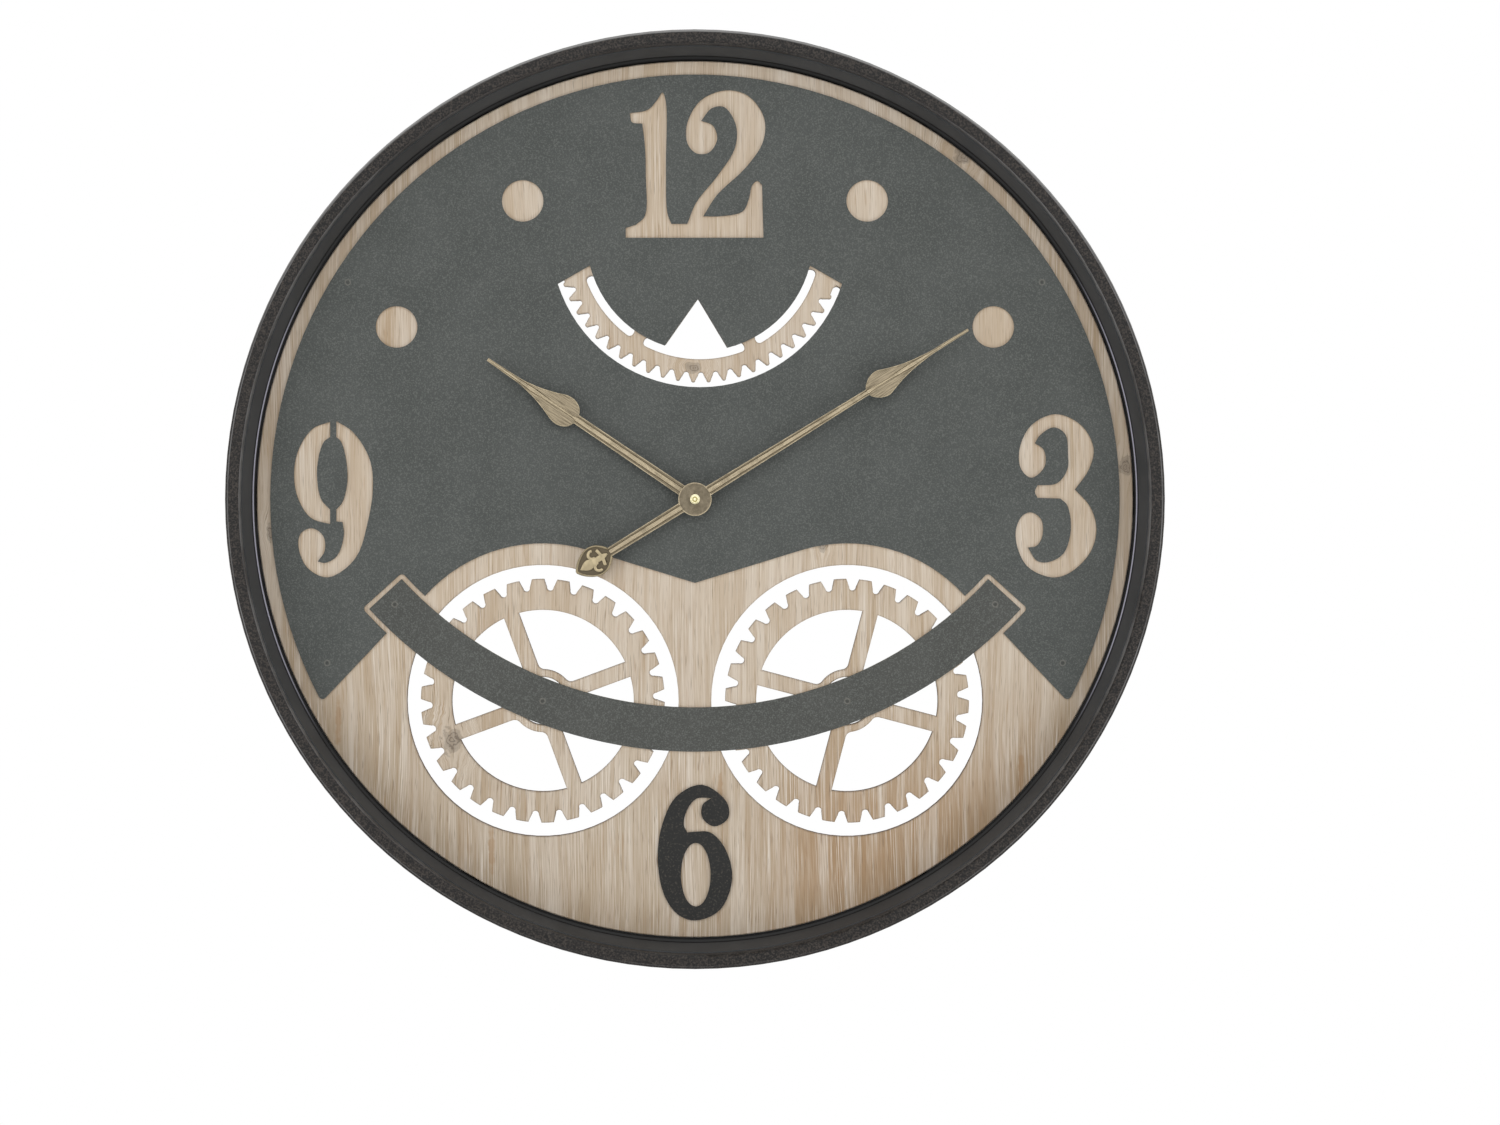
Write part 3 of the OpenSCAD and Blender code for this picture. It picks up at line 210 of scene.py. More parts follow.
def makeSpeckle():
    # fine paint specks, slow mottling and small dimples
    group, take, give = newGroup(
        "paintSpeckle",
        [("Place", "Vector", None), ("Speck Scale", "Float", 900.0), ("Speck Share", "Float", 0.6),
         ("Speck Blur", "Float", 0.1), ("Dimple Scale", "Float", 300.0)],
        [("Specks", "Float"), ("Mottle", "Float"), ("Height", "Float")])
    fine = noise(group, take["Place"], take["Speck Scale"], detail=2.5, rough=0.6)
    full = plus(group, take["Speck Share"], take["Speck Blur"])
    feed(group, give["Specks"], span(group, fine, take["Speck Share"], full))
    feed(group, give["Mottle"], noise(group, take["Place"], scale=22.0, detail=3.0, rough=0.6))
    dimples = cells(group, take["Place"], take["Dimple Scale"], "SMOOTH_F1")
    feed(group, give["Height"], plus(group, dimples, times(group, fine, 0.35)))
    return group


def makeStreaks():
    # brushed lines along a direction, with patches where they lie closer
    group, take, give = newGroup(
        "brushedStreaks",
        [("Place", "Vector", None), ("Along", "Vector", (0, 0, 1)), ("Across", "Vector", (1, 0, 0)),
         ("Fineness", "Float", 1800.0)],
        [("Streaks", "Float"), ("Patches", "Float")])
    along = vectorCalc(group, "DOT_PRODUCT", take["Place"], take["Along"])
    across = vectorCalc(group, "DOT_PRODUCT", take["Place"], take["Across"])
    drawn = join(group, times(group, along, 70.0), times(group, across, take["Fineness"]), 0.0)
    feed(group, give["Streaks"], noise(group, drawn, detail=3.0, rough=0.6))
    feed(group, give["Patches"], noise(group, take["Place"], scale=160.0, detail=3.0, rough=0.55))
    return group


def makeKnot():
    # oval knot with wavy rings, which pushes the grain round it aside
    group, take, give = newGroup(
        "grainKnot",
        [("Place", "Vector", None), ("Centre", "Vector", (0, 0, 0)), ("Half Width", "Float", 0.008),
         ("Half Height", "Float", 0.01)],
        [("Core", "Float"), ("Rings", "Float"), ("Push", "Float")])
    x, _, z = split(group, vectorCalc(group, "SUBTRACT", take["Place"], take["Centre"]))
    oval = distance(group, calc(group, "DIVIDE", x, take["Half Width"]),
                    calc(group, "DIVIDE", z, take["Half Height"]))
    wave = times(group, minus(group, noise(group, take["Place"], scale=190.0), 0.5), 1.7)
    far = plus(group, oval, wave)
    core = span(group, far, 1.25, 0.55)
    rings = span(group, calc(group, "SINE", times(group, far, 15.0)), 0.3, 1.0)
    feed(group, give["Core"], core)
    feed(group, give["Rings"], times(group, rings, core))
    feed(group, give["Push"], times(group, times(group, x, span(group, far, 3.6, 0.6)), -0.75))
    return group


def makeWeldMark():
    # dent of a stud welded behind the sheet, at the same place left and right: its ring takes a painted highlight
    # and its centre a painted shade
    group, take, give = newGroup(
        "weldMark",
        [("Place", "Vector", None), ("Side", "Float", 0.25), ("Rise", "Float", 0.15)],
        [("Ring", "Float"), ("Pit", "Float")])
    x, _, z = split(group, take["Place"])
    far = distance(group, minus(group, size(group, x), take["Side"]), minus(group, z, take["Rise"]))
    off = size(group, minus(group, far, 1.9 * mm))
    feed(group, give["Ring"], ramp(group, off, 0.8, 0.1))
    feed(group, give["Pit"], ramp(group, far, 1.6, 0.6))
    return group


speckle = makeSpeckle()
streaks = makeStreaks()
grainKnot = makeKnot()
weldMark = makeWeldMark()


# whitewashed, brushed fir with upright grain, with painted shade near the frame and towards the bottom

timberLook = {
    "wash": (229, 219, 206), "pale": (211, 196, 177), "soft": (197, 178, 154), "tan": (172, 147, 118),
    "warm": (168, 132, 93), "lowShade": (166, 148, 124), "frameShade": (150, 128, 100), "pore": (128, 107, 86),
    "knot": (118, 109, 99), "burnt": (60, 45, 33), "smoked": (118, 94, 70), "scorch": (106, 84, 64),
    "fibre": (140, 118, 92),
    "knots": [  # centre x and z, half width and half height, in mm
        (-176, -174.5, 7.5, 9), (-1, 95, 6, 4), (193.5, 248, 7, 6), (311, 24, 5, 7), (-306, -24, 4, 7),
        (92.6, -33, 3, 5)],
    "spindles": [(-258, -160, 2.2, 19), (-147, -254, 2.4, 16), (18, -212, 1.8, 14), (236, -196, 2.0, 17)],
    "sway": (9.0, 4.0, 2.0, 0.5),  # changes to a metre across and along the grain, detail, roughness
    "grain": {
        "boards": (24.0, 1.4, 3.0, 0.55), "stain": (46.0, 3.2, 4.0, 0.6), "bands": (130.0, 5.0, 4.0, 0.6),
        "brush": (1250.0, 14.0, 3.0, 0.65), "pores": (1700.0, 55.0, 1.0, 0.55), "dashes": (420.0, 38.0, 1.0, 0.55),
        "patches": (34.0, 7.0, 2.0, 0.55)},
    "coats": [  # grain, where the coat starts and where it is full, its share, its paint, its reach
        ("stain", 0.48, 0.66, 0.5, "tan", "all"), ("bands", 0.42, 0.68, 0.48, "wash", "all"),
        ("brush", 0.50, 0.63, 0.82, "wash", "rubbed"), ("brush", 0.46, 0.33, 0.7, "tan", "all"),
        ("dashes", 0.64, 0.76, 0.35, "warm", "all"), ("pores", 0.40, 0.26, 0.7, "pore", "all")],
    # places in mm from the hands' axis where a change starts and ends, and the shares there
    "bareDown": (-80, -220, 0.8, 1.0),  # the wash is thinner on the lower half
    # painted shade: the timber darker towards the bottom
    "lowShadeDown": (-50, -270, 0.0, 0.42),
    # golden tone of the timber at the lower right, which is also painted shade there
    "goldShadeDown": (-120, -270, 0.0, 1.0), "goldShadeAcross": (20, 110, 0.0, 0.75),
    "frameShadeOut": (285, 314), "frameShadeUp": (220, 310, 0.35, 0.0),  # painted shade of the frame on the timber beside it, none at the top
    "shifts": {"panelTimber": 0.0, "leftWheelTimber": 3.7, "rightWheelTimber": 8.2},
    "front": -3.5, "edge": 0.75,  # front face and the chamfer of its cut edges in mm
}


def makeTimber():
    look = timberLook
    group, take, give = newGroup(
        "timberGrain", [("Place", "Vector", None), ("Shift", "Float", 0.0)],
        [("Color", "Color"), ("Height", "Float"), ("Roughness", "Float")])

    def knotAt(x, z, halfWidth, halfHeight):
        return useGroup(group, grainKnot, {
            "Place": take["Place"], "Centre": (x * mm, 0, z * mm), "Half Width": halfWidth * mm,
            "Half Height": halfHeight * mm})

    core = rings = push = streak = 0.0
    for numbers in look["knots"]:
        knot = knotAt(*numbers)
        core = most(group, core, knot["Core"])
        rings = most(group, rings, knot["Rings"])
        push = plus(group, push, knot["Push"])
    for numbers in look["spindles"]:
        streak = most(group, streak, knotAt(*numbers)["Core"])
    x, _, z = split(group, take["Place"])

    def lines(side, across, along, detail, rough):
        spot = join(group, times(group, side, across), take["Shift"], times(group, z, along))
        return noise(group, spot, detail=detail, rough=rough)

    sway = lines(x, *look["sway"])
    x = plus(group, plus(group, x, push), times(group, minus(group, sway, 0.5), 0.018))
    grain = {name: lines(x, *numbers) for name, numbers in look["grain"].items()}
    where = {"all": 1.0, "rubbed": span(group, grain["patches"], 0.34, 0.62, 0.25, 1.0)}  # thick where rubbed in
    bare = ramp(group, z, *look["bareDown"])
    # painted shade, darker towards the bottom
    lowShade = ramp(group, z, *look["lowShadeDown"])
    # golden tone at the lower right, also painted shade
    goldAndShade = times(group, ramp(group, z, *look["goldShadeDown"]), ramp(group, x, *look["goldShadeAcross"]))
    reach = vectorCalc(group, "LENGTH", vectorCalc(group, "MULTIPLY", take["Place"], (1.0, 0.0, 1.0)))
    # painted shade of the frame's wall on the timber near it
    frameShade = ramp(group, reach, *look["frameShadeOut"], 0.0, ramp(group, z, *look["frameShadeUp"]))

    color = blend(group, span(group, grain["boards"], 0.36, 0.66), tone(look["soft"]), tone(look["pale"]))
    for mask, paint in ((lowShade, "lowShade"), (goldAndShade, "warm"), (frameShade, "frameShade")):
        color = blend(group, mask, color, tone(look[paint]))
    for name, low, high, share, paint, spread in look["coats"]:
        amount = times(group, span(group, grain[name], low, high), times(group, bare, share))
        color = blend(group, times(group, amount, where[spread]), color, tone(look[paint]))
    for mask, share, paint in ((streak, 0.5, "warm"), (core, 0.5, "knot"), (rings, 0.45, "burnt")):
        color = blend(group, times(group, mask, share), color, tone(look[paint]))
    feed(group, give["Color"], color)
    feed(group, give["Height"], plus(group, times(group, grain["brush"], 0.7), times(group, grain["pores"], 0.5)))
    feed(group, give["Roughness"], span(group, grain["brush"], *noiseRange, 0.82, 0.62))
    return group


timberGrain = makeTimber()


def timberMaterial(name, shift):
    # grain on the faces, smoked brown on the sawn walls
    look = timberLook
    material, tree, shader, place = newMaterial(name, Specular_IOR_Level=0.15)
    grain = useGroup(tree, timberGrain, {"Place": place, "Shift": shift})
    wall = blend(tree, noise(tree, place, scale=60.0, detail=3.0), tone(look["burnt"]), tone(look["smoked"]))
    feed(tree, shader["Base Color"], blend(tree, cutEdge(tree), grain["Color"], wall))
    feed(tree, shader["Roughness"], grain["Roughness"])
    bump(tree, shader, grain["Height"], 0.25, 0.6)
    return material


def scorchMaterial():
    # edges browned by the cutter, paler where the wash ran over them
    look = timberLook
    material, tree, shader, place = newMaterial("scorchedTimber", Specular_IOR_Level=0.15)
    smoke = noise(tree, place, scale=90.0, detail=3.0)
    fibres = noise(tree, vectorCalc(tree, "MULTIPLY", place, (900.0, 900.0, 30.0)))
    color = blend(tree, span(tree, smoke, 0.35, 0.7), tone(look["burnt"]), tone(look["scorch"]))
    feed(tree, shader["Base Color"], blend(tree, times(tree, fibres, 0.25), color, tone(look["fibre"])))
    feed(tree, shader["Roughness"], span(tree, smoke, *noiseRange, 0.85, 0.7))
    bump(tree, shader, fibres, 0.2, 0.5)
    return material


timbers = {name: timberMaterial(name, shift) for name, shift in timberLook["shifts"].items()}
scorchedTimber = scorchMaterial()
print("timber ready")


# sheet metal of the dial, the bar and the numeral six

sheetLook = {
    "dial": {
        "name": "dialCoat", "coat": (80, 83, 81), "dim": (76, 79, 77),
        "studs": [(250.9, 156.8), (265.8, -118.4)]},  # out to each side and up, in mm
    "bar": {
        "name": "barCoat", "coat": (78, 79, 76), "dim": (75, 76, 73),
        "studs": [(217, -76), (110.1, -145.9)]},
    "fleck": (107, 110, 106), "fleckShare": 0.8, "edge": (150, 135, 112),
    "studGlint": (128, 126, 118), "studShade": (58, 57, 54),  # painted highlight round each welded stud's dent and painted shade in its centre
    "specks": {"Speck Scale": 1080, "Speck Share": 0.47, "Speck Blur": 0.2, "Dimple Scale": 1500},
    "rough": (0.68, 0.56),
}


def sheetMaterial(sheet):
    look = sheetLook
    material, tree, shader, place = newMaterial(sheet["name"], Specular_IOR_Level=0.25)
    paint = useGroup(tree, speckle, {"Place": place, **look["specks"]})
    color = blend(tree, span(tree, paint["Mottle"], *noiseRange), tone(sheet["dim"]), tone(sheet["coat"]))
    color = blend(tree, times(tree, paint["Specks"], look["fleckShare"]), color, tone(look["fleck"]))
    for side, rise in sheet["studs"]:
        stud = useGroup(tree, weldMark, {"Place": place, "Side": side * mm, "Rise": rise * mm})
        # painted highlight round each stud's dent, then painted shade in its centre
        color = blend(tree, times(tree, stud["Ring"], 0.5), color, tone(look["studGlint"]))
        color = blend(tree, times(tree, stud["Pit"], 0.6), color, tone(look["studShade"]))
    feed(tree, shader["Base Color"], blend(tree, cutEdge(tree), color, tone(look["edge"])))
    feed(tree, shader["Roughness"], span(tree, paint["Mottle"], *noiseRange, *look["rough"]))
    bump(tree, shader, paint["Height"], 0.1, 0.35)
    return material


sixLook = {
    "low": (22, 22, 21), "high": (29, 29, 28), "fleck": (72, 68, 61), "fleckShare": 0.65,
    "specks": {"Speck Scale": 640, "Speck Share": 0.53, "Speck Blur": 0.16}, "rough": (0.6, 0.45),
}


def sixMaterial():
    look = sixLook
    material, tree, shader, place = newMaterial("sixPaint", Specular_IOR_Level=0.3)
    paint = useGroup(tree, speckle, {"Place": place, **look["specks"]})
    color = blend(tree, paint["Mottle"], tone(look["low"]), tone(look["high"]))
    color = blend(tree, times(tree, paint["Specks"], look["fleckShare"]), color, tone(look["fleck"]))
    feed(tree, shader["Base Color"], color)
    feed(tree, shader["Roughness"], span(tree, paint["Mottle"], *noiseRange, *look["rough"]))
    bump(tree, shader, paint["Height"], 0.1, 0.4)
    return material


dialCoat = sheetMaterial(sheetLook["dial"])
barCoat = sheetMaterial(sheetLook["bar"])
sixPaint = sixMaterial()
print("sheet metal ready")


# frame ring: hammered black crown and outside, smooth charcoal slope, worn edges with painted highlights, and
# painted shade beside the panel

ringLook = {
    "crown": (20, 19, 19), "rust": (74, 68, 63), "slope": (66, 68, 70), "slopeDim": (58, 60, 62),
    # edge is wear with painted highlight; the three after it are painted highlights on the bend and the bead and
    # painted shade beside the panel
    "edge": (128, 127, 127), "upper": (160, 159, 158), "bead": (176, 174, 188), "gap": (14, 14, 14),
    "specks": {"Speck Scale": 820, "Speck Share": 0.4, "Speck Blur": 0.3, "Dimple Scale": 520},
    # radii and heights in mm
    "slopeRadius": 324.3, "beadFrom": 318.0, "beadTo": 320.2, "beadFront": -6.0,
    "wornGlintLines": [(324.8, 0.45), (332.9, 0.5)],  # radius and half width of each line of wear and painted highlight
    "upperBend": (332.2, 333.1), "upperFront": (-29, -30.5),  # outer bend, painted highlight where it faces up
}


def ringMaterial():
    look = ringLook
    material, tree, shader, place = newMaterial("ringBlack", Specular_IOR_Level=0.25)
    x, y, z = split(tree, place)
    radius = distance(tree, x, z)
    side = calc(tree, "DIVIDE", size(tree, x), radius)
    front = ramp(tree, y, 0, -4)
    paint = useGroup(tree, speckle, {"Place": place, **look["specks"]})
    hammered = ramp(tree, radius, look["slopeRadius"] - 0.2, look["slopeRadius"] + 0.3)
    coarse = blend(tree, times(tree, paint["Specks"], 0.8), tone(look["crown"]), tone(look["rust"]))
    smooth = blend(tree, span(tree, paint["Mottle"], *noiseRange), tone(look["slopeDim"]), tone(look["slope"]))
    color = blend(tree, hammered, smooth, coarse)

    def line(at, half):
        return ramp(tree, size(tree, minus(tree, radius, at * mm)), half, half * 0.4)

    # wear and painted highlight along the lines at the crown's edges
    wearAndGlint = times(tree, front, span(tree, paint["Mottle"], 0.3, 0.6, 0.35, 1.0))
    wearAndGlint = times(tree, wearAndGlint, span(tree, side, 0.35, 0.85, 0.15, 0.75))  # wear and painted highlight, most at the left and the right
    for at, half in look["wornGlintLines"]:
        color = blend(tree, times(tree, line(at, half), wearAndGlint), color, tone(look["edge"]))
    # painted highlight on the outer bend where it faces up
    upper = times(tree, span(tree, facing(tree)[2], 0.08, 0.5), ramp(tree, radius, *look["upperBend"]))
    upper = times(tree, upper, ramp(tree, y, *look["upperFront"], 0.0, 0.9))
    color = blend(tree, upper, color, tone(look["upper"]))

    # painted shade: the bead's front and the throat darkened where they meet the panel
    bead = times(tree, ramp(tree, radius, look["beadTo"], look["beadTo"] - 0.2),
                 ramp(tree, y, look["beadFront"] + 0.9, look["beadFront"] + 0.7))
    color = blend(tree, times(tree, bead, front), color, tone(look["gap"]))
    middle = (look["beadFrom"] + look["beadTo"]) / 2
    glint = times(tree, times(tree, bead, line(middle, 0.55)), span(tree, side, 0.84, 0.97, 0.0, 0.9))
    color = blend(tree, glint, color, tone(look["bead"]))
    throat = ramp(tree, radius, look["beadFrom"] + 0.3, look["beadFrom"] + 0.1)  # painted shade on the throat beside the panel, and rough there
    feed(tree, shader["Base Color"], blend(tree, throat, color, tone(look["gap"])))
    feed(tree, shader["Roughness"], most(tree, throat, span(tree, hammered, 0.0, 1.0, 0.5, 0.55)))
    bump(tree, shader, times(tree, paint["Height"], hammered), 0.5, 0.45)
    return material


ringBlack = ringMaterial()
print("ring ready")


# brass of the hands, aged and brushed along each hand

brassLook = {
    "shade": (100, 91, 74), "field": (147, 135, 113), "channelShade": (116, 106, 88), "high": (150, 138, 115),
    "glint": (170, 157, 132), "cloudDark": (94, 86, 71), "cloudLight": (124, 114, 96),
    "recess": (88, 79, 63), "rim": (142, 130, 104), "lily": (174, 160, 129),
    "ease": [(-17.4, 0.5), (-17.9, 0.6)],  # front faces of the rim and the lily, and their rounding in mm
    # degrees clockwise from the twelve; back face, radius of the hub and end of the stem in mm
    "hour": {"name": "hourBrass", "angle": -56.0, "back": -12.0, "hub": 11.0, "stem": 102.0},
    "minute": {"name": "minuteBrass", "angle": 58.2, "back": -15.6, "hub": 12.0, "stem": 145.0},
}


def handWays(angle):
    # directions along and across a hand
    turn = math.radians(angle)
    return Vector((math.sin(turn), 0, math.cos(turn))), Vector((math.cos(turn), 0, -math.sin(turn)))


def handMaterial(hand):
    # painted shade in the stem's grooves, rubbed on the raised edges and the rib, cloudy on the hub
    look = brassLook
    material, tree, shader, place = newMaterial(hand["name"], Metallic=0.8)
    along, across = handWays(hand["angle"])
    lines = useGroup(tree, streaks, {"Place": place, "Along": along, "Across": across})
    x, y, z = split(tree, place)
    onStem = ramp(tree, vectorCalc(tree, "DOT_PRODUCT", place, along), hand["stem"] + 4, hand["stem"] - 1)
    onHub = ramp(tree, distance(tree, x, z), hand["hub"] - 0.5, hand["hub"] - 0.9)
    raised = ramp(tree, y, hand["back"] - 0.66, hand["back"] - 0.86)

    def shaded(color, mask, low, high, share):
        return blend(tree, times(tree, span(tree, lines[mask], low, high), share), color, tone(look["shade"]))

    spade = blend(tree, span(tree, lines["Streaks"], 0.32, 0.6), tone(look["shade"]), tone(look["field"]))
    spade = shaded(spade, "Patches", 0.55, 0.75, 0.4)
    # painted shade in the stem's grooves
    sunk = blend(tree, onStem, spade, tone(look["channelShade"]))
    rubbed = blend(tree, span(tree, lines["Streaks"], 0.35, 0.65), tone(look["high"]), tone(look["glint"]))
    rubbed = shaded(rubbed, "Patches", 0.45, 0.75, 0.5)
    rubbed = shaded(rubbed, "Streaks", 0.46, 0.3, 0.6)
    clouds = span(tree, noise(tree, place, scale=260.0, detail=5.0, rough=0.7), *noiseRange)
    cloud = blend(tree, clouds, tone(look["cloudDark"]), tone(look["cloudLight"]))
    feed(tree, shader["Base Color"], blend(tree, onHub, blend(tree, raised, sunk, rubbed), cloud))
    feed(tree, shader["Roughness"], span(tree, lines["Streaks"], *noiseRange, 0.5, 0.36))
    bump(tree, shader, times(tree, lines["Streaks"], minus(tree, 1.0, onHub)), 0.1, 0.5)
    return material


def leafMaterial():
    # cast leaf: dark field, brown rim and a lily rubbed bright
    look = brassLook
    material, tree, shader, place = newMaterial("leafBrass", Metallic=0.8)
    patches = useGroup(tree, streaks, {"Place": place})["Patches"]
    rise = minus(tree, look["minute"]["back"] * mm, split(tree, place)[1])
    color = blend(tree, ramp(tree, rise, 0.7, 1.5), tone(look["recess"]), tone(look["rim"]))
    color = blend(tree, ramp(tree, rise, 1.75, 2.25), color, tone(look["lily"]))
    grime = span(tree, patches, 0.4, 0.7, 0.0, 0.35)
    feed(tree, shader["Base Color"], blend(tree, grime, color, tone(look["shade"])))
    feed(tree, shader["Roughness"], span(tree, patches, *noiseRange, 0.28, 0.42))
    bump(tree, shader, patches, 0.2, 0.4)
    return material


hourBrass = handMaterial(brassLook["hour"])
minuteBrass = handMaterial(brassLook["minute"])
leafBrass = leafMaterial()
print("brass ready")


# plain metals and plastics of the small pieces

metalLook = {
    "nutBrass": {
        "dark": (206, 198, 156), "light": (240, 234, 200), "metallic": 0.85, "rough": (0.24, 0.36),
        "groove": (0.9, 2.1), "dull": (160, 150, 98)},  # painted shade of a turned groove about the hands' axis, its radii in mm
    "brightBrass": {"dark": (178, 150, 84), "light": (222, 203, 140), "metallic": 0.9, "rough": (0.2, 0.34)},
    "zincSteel": {"dark": (150, 152, 152), "light": (190, 190, 186), "metallic": 0.9, "rough": (0.28, 0.44)},
    "darkSteel": {"dark": (46, 46, 47), "light": (70, 69, 68), "metallic": 0.6, "rough": (0.42, 0.58)},
}


def plainMetal(name, look):
    material, tree, shader, place = newMaterial(name, Metallic=look["metallic"])
    lines = useGroup(tree, streaks, {"Place": place, "Fineness": 900.0})
    mix = plus(tree, times(tree, lines["Streaks"], 0.45), times(tree, lines["Patches"], 0.55))
    color = blend(tree, span(tree, mix, 0.34, 0.64), tone(look["dark"]), tone(look["light"]))
    if "groove" in look:
        inner, outer = look["groove"]
        x, _, z = split(tree, place)
        radius = distance(tree, x, z)
        # painted shade of a turned groove round the hands' axis
        ring = times(tree, ramp(tree, radius, inner, inner + 0.2), ramp(tree, radius, outer, outer - 0.2))
        color = blend(tree, ring, color, tone(look["dull"]))
    feed(tree, shader["Base Color"], color)
    feed(tree, shader["Roughness"], span(tree, lines["Patches"], *noiseRange, *look["rough"]))
    bump(tree, shader, lines["Streaks"], 0.08, 0.35)
    return material


plasticLook = {
    "blackPlastic": {"low": (28, 28, 30), "high": (36, 36, 38), "rough": (0.42, 0.55), "grain": 1400.0},
    "whitePlastic": {"low": (222, 218, 206), "high": (232, 229, 219), "rough": (0.34, 0.46), "grain": 1400.0},
    "blackRubber": {"low": (32, 32, 34), "high": (44, 44, 45), "rough": (0.7, 0.85), "grain": 2200.0},
}


def mouldedPlastic(name, look):
    material, tree, shader, place = newMaterial(name, Specular_IOR_Level=0.4)
    paint = useGroup(tree, speckle, {"Place": place, "Speck Scale": look["grain"], "Dimple Scale": look["grain"]})
    mottle = span(tree, paint["Mottle"], *noiseRange)
    feed(tree, shader["Base Color"], blend(tree, mottle, tone(look["low"]), tone(look["high"])))
    feed(tree, shader["Roughness"], span(tree, paint["Mottle"], *noiseRange, *look["rough"]))
    bump(tree, shader, paint["Height"], 0.1, 0.4)
    return material


metals = {name: plainMetal(name, look) for name, look in metalLook.items()}
plastics = {name: mouldedPlastic(name, look) for name, look in plasticLook.items()}


# battery, coil and board of the movement

cellLook = {
    "low": (44, 66, 56), "high": (56, 80, 68), "band": (176, 142, 84), "steel": (186, 186, 182),
    "flatEnd": 1.2, "knobEnd": 2.8, "bandEnd": 16.0, "blur": 0.2,  # in mm from the two ends
}


def cellMaterial():
    # jacket with bare steel ends and a pale band
    look = cellLook
    material, tree, shader, place = newMaterial("cellJacket")
    low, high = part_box("battery")
    x = split(tree, place)[0]
    fromFlat, fromKnob = minus(tree, x, low.x), minus(tree, high.x, x)
    steel = most(tree, ramp(tree, fromFlat, look["flatEnd"], look["flatEnd"] - look["blur"]),
                 ramp(tree, fromKnob, look["knobEnd"], look["knobEnd"] - look["blur"]))
    band = times(tree, ramp(tree, fromKnob, look["bandEnd"], look["bandEnd"] - look["blur"]),
                 ramp(tree, fromKnob, look["knobEnd"], look["knobEnd"] + look["blur"]))
    mottle = useGroup(tree, speckle, {"Place": place})["Mottle"]
    color = blend(tree, mottle, tone(look["low"]), tone(look["high"]))
    color = blend(tree, band, color, tone(look["band"]))
    feed(tree, shader["Base Color"], blend(tree, steel, color, tone(look["steel"])))
    feed(tree, shader["Metallic"], most(tree, times(tree, band, 0.6), steel))
    feed(tree, shader["Roughness"], span(tree, mottle, *noiseRange, 0.24, 0.36))
    return material


coilLook = {
    "hollowShade": (112, 62, 34), "wire": (198, 122, 74), "cheek": (226, 222, 210),
    "cheekFrom": 1.3, "cheekFull": 1.2, "turns": 21000.0,  # cheeks in mm from the ends, turns in radians to a metre
}


def coilMaterial():
    # copper windings between two pale cheeks, with painted shade between the turns
    look = coilLook
    material, tree, shader, place = newMaterial("coilWire")
    low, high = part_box("motor_coil")
    x = split(tree, place)[0]
    cheek = most(tree, ramp(tree, minus(tree, x, low.x), look["cheekFrom"], look["cheekFull"]),
                 ramp(tree, minus(tree, high.x, x), look["cheekFrom"], look["cheekFull"]))
    # painted shade between the turns of wire
    turns = plus(tree, 0.5, times(tree, 0.5, calc(tree, "SINE", times(tree, x, look["turns"]))))
    wire = blend(tree, turns, tone(look["hollowShade"]), tone(look["wire"]))
    feed(tree, shader["Base Color"], blend(tree, cheek, wire, tone(look["cheek"])))
    feed(tree, shader["Metallic"], minus(tree, 0.8, times(tree, cheek, 0.8)))
    feed(tree, shader["Roughness"], span(tree, cheek, 0.0, 1.0, 0.32, 0.45))
    bump(tree, shader, times(tree, turns, minus(tree, 1.0, cheek)), 0.1, 0.6)
    return material


boardLook = {
    "track": (58, 106, 66), "lacquer": (34, 72, 46), "pad": (188, 188, 182),
    "pitch": 260.0, "chance": 0.35,  # pads to a metre, and how far they stray from rows
}


def boardMaterial():
    # green lacquer over copper tracks, with tinned pads
    look = boardLook
    material, tree, shader, place = newMaterial("boardLacquer", Specular_IOR_Level=0.5)
    x, _, z = split(tree, place)
    spot = join(tree, x, 0.0, z)
    lacquer = span(tree, cells(tree, spot, look["pitch"], "DISTANCE_TO_EDGE", look["chance"]), 0.10, 0.14)
    pads = span(tree, cells(tree, spot, look["pitch"], "F1", look["chance"]), 0.24, 0.2)
    color = blend(tree, lacquer, tone(look["track"]), tone(look["lacquer"]))
    feed(tree, shader["Base Color"], blend(tree, pads, color, tone(look["pad"])))
    feed(tree, shader["Metallic"], times(tree, pads, 0.9))
    feed(tree, shader["Roughness"], span(tree, lacquer, 0.0, 1.0, 0.3, 0.42))
    bump(tree, shader, plus(tree, pads, minus(tree, 1.0, lacquer)), 0.1, 0.5)
    return material


finishes = [
    (ringBlack, ["frame_ring"]),
    (timbers["panelTimber"], ["timber_panel"]),
    (timbers["leftWheelTimber"], ["left_wheel"]),
    (timbers["rightWheelTimber"], ["right_wheel"]),
    (dialCoat, ["dial_sheet"]),
    (barCoat, ["curved_bar"]),
    (sixPaint, ["numeral_six"]),
    (hourBrass, ["hour_hand"]),
    (minuteBrass, ["minute_hand"]),
    (leafBrass, ["tail_leaf"]),
    (metals["nutBrass"], ["hand_nut", "minute_arbor"]),
    (metals["brightBrass"], ["threaded_bush", "brass_washer", "bush_nut", "hour_collet", "centre_wheel"]),
    (metals["zincSteel"], ["panel_screws", "dial_studs", "bar_studs", "stud_nuts", "battery_contacts"]),
    (metals["darkSteel"], ["panel_tabs", "hanging_strap", "wheel_clamps"]),
    (plastics["blackPlastic"], ["movement_case", "movement_cover", "setting_knob"]),
    (plastics["whitePlastic"], ["drive_unit", "motion_wheel", "hour_wheel"]),
    (plastics["blackRubber"], ["rubber_washer"]),
    (cellMaterial(), ["battery"]),
    (coilMaterial(), ["motor_coil"]),
    (boardMaterial(), ["circuit_board"]),
]
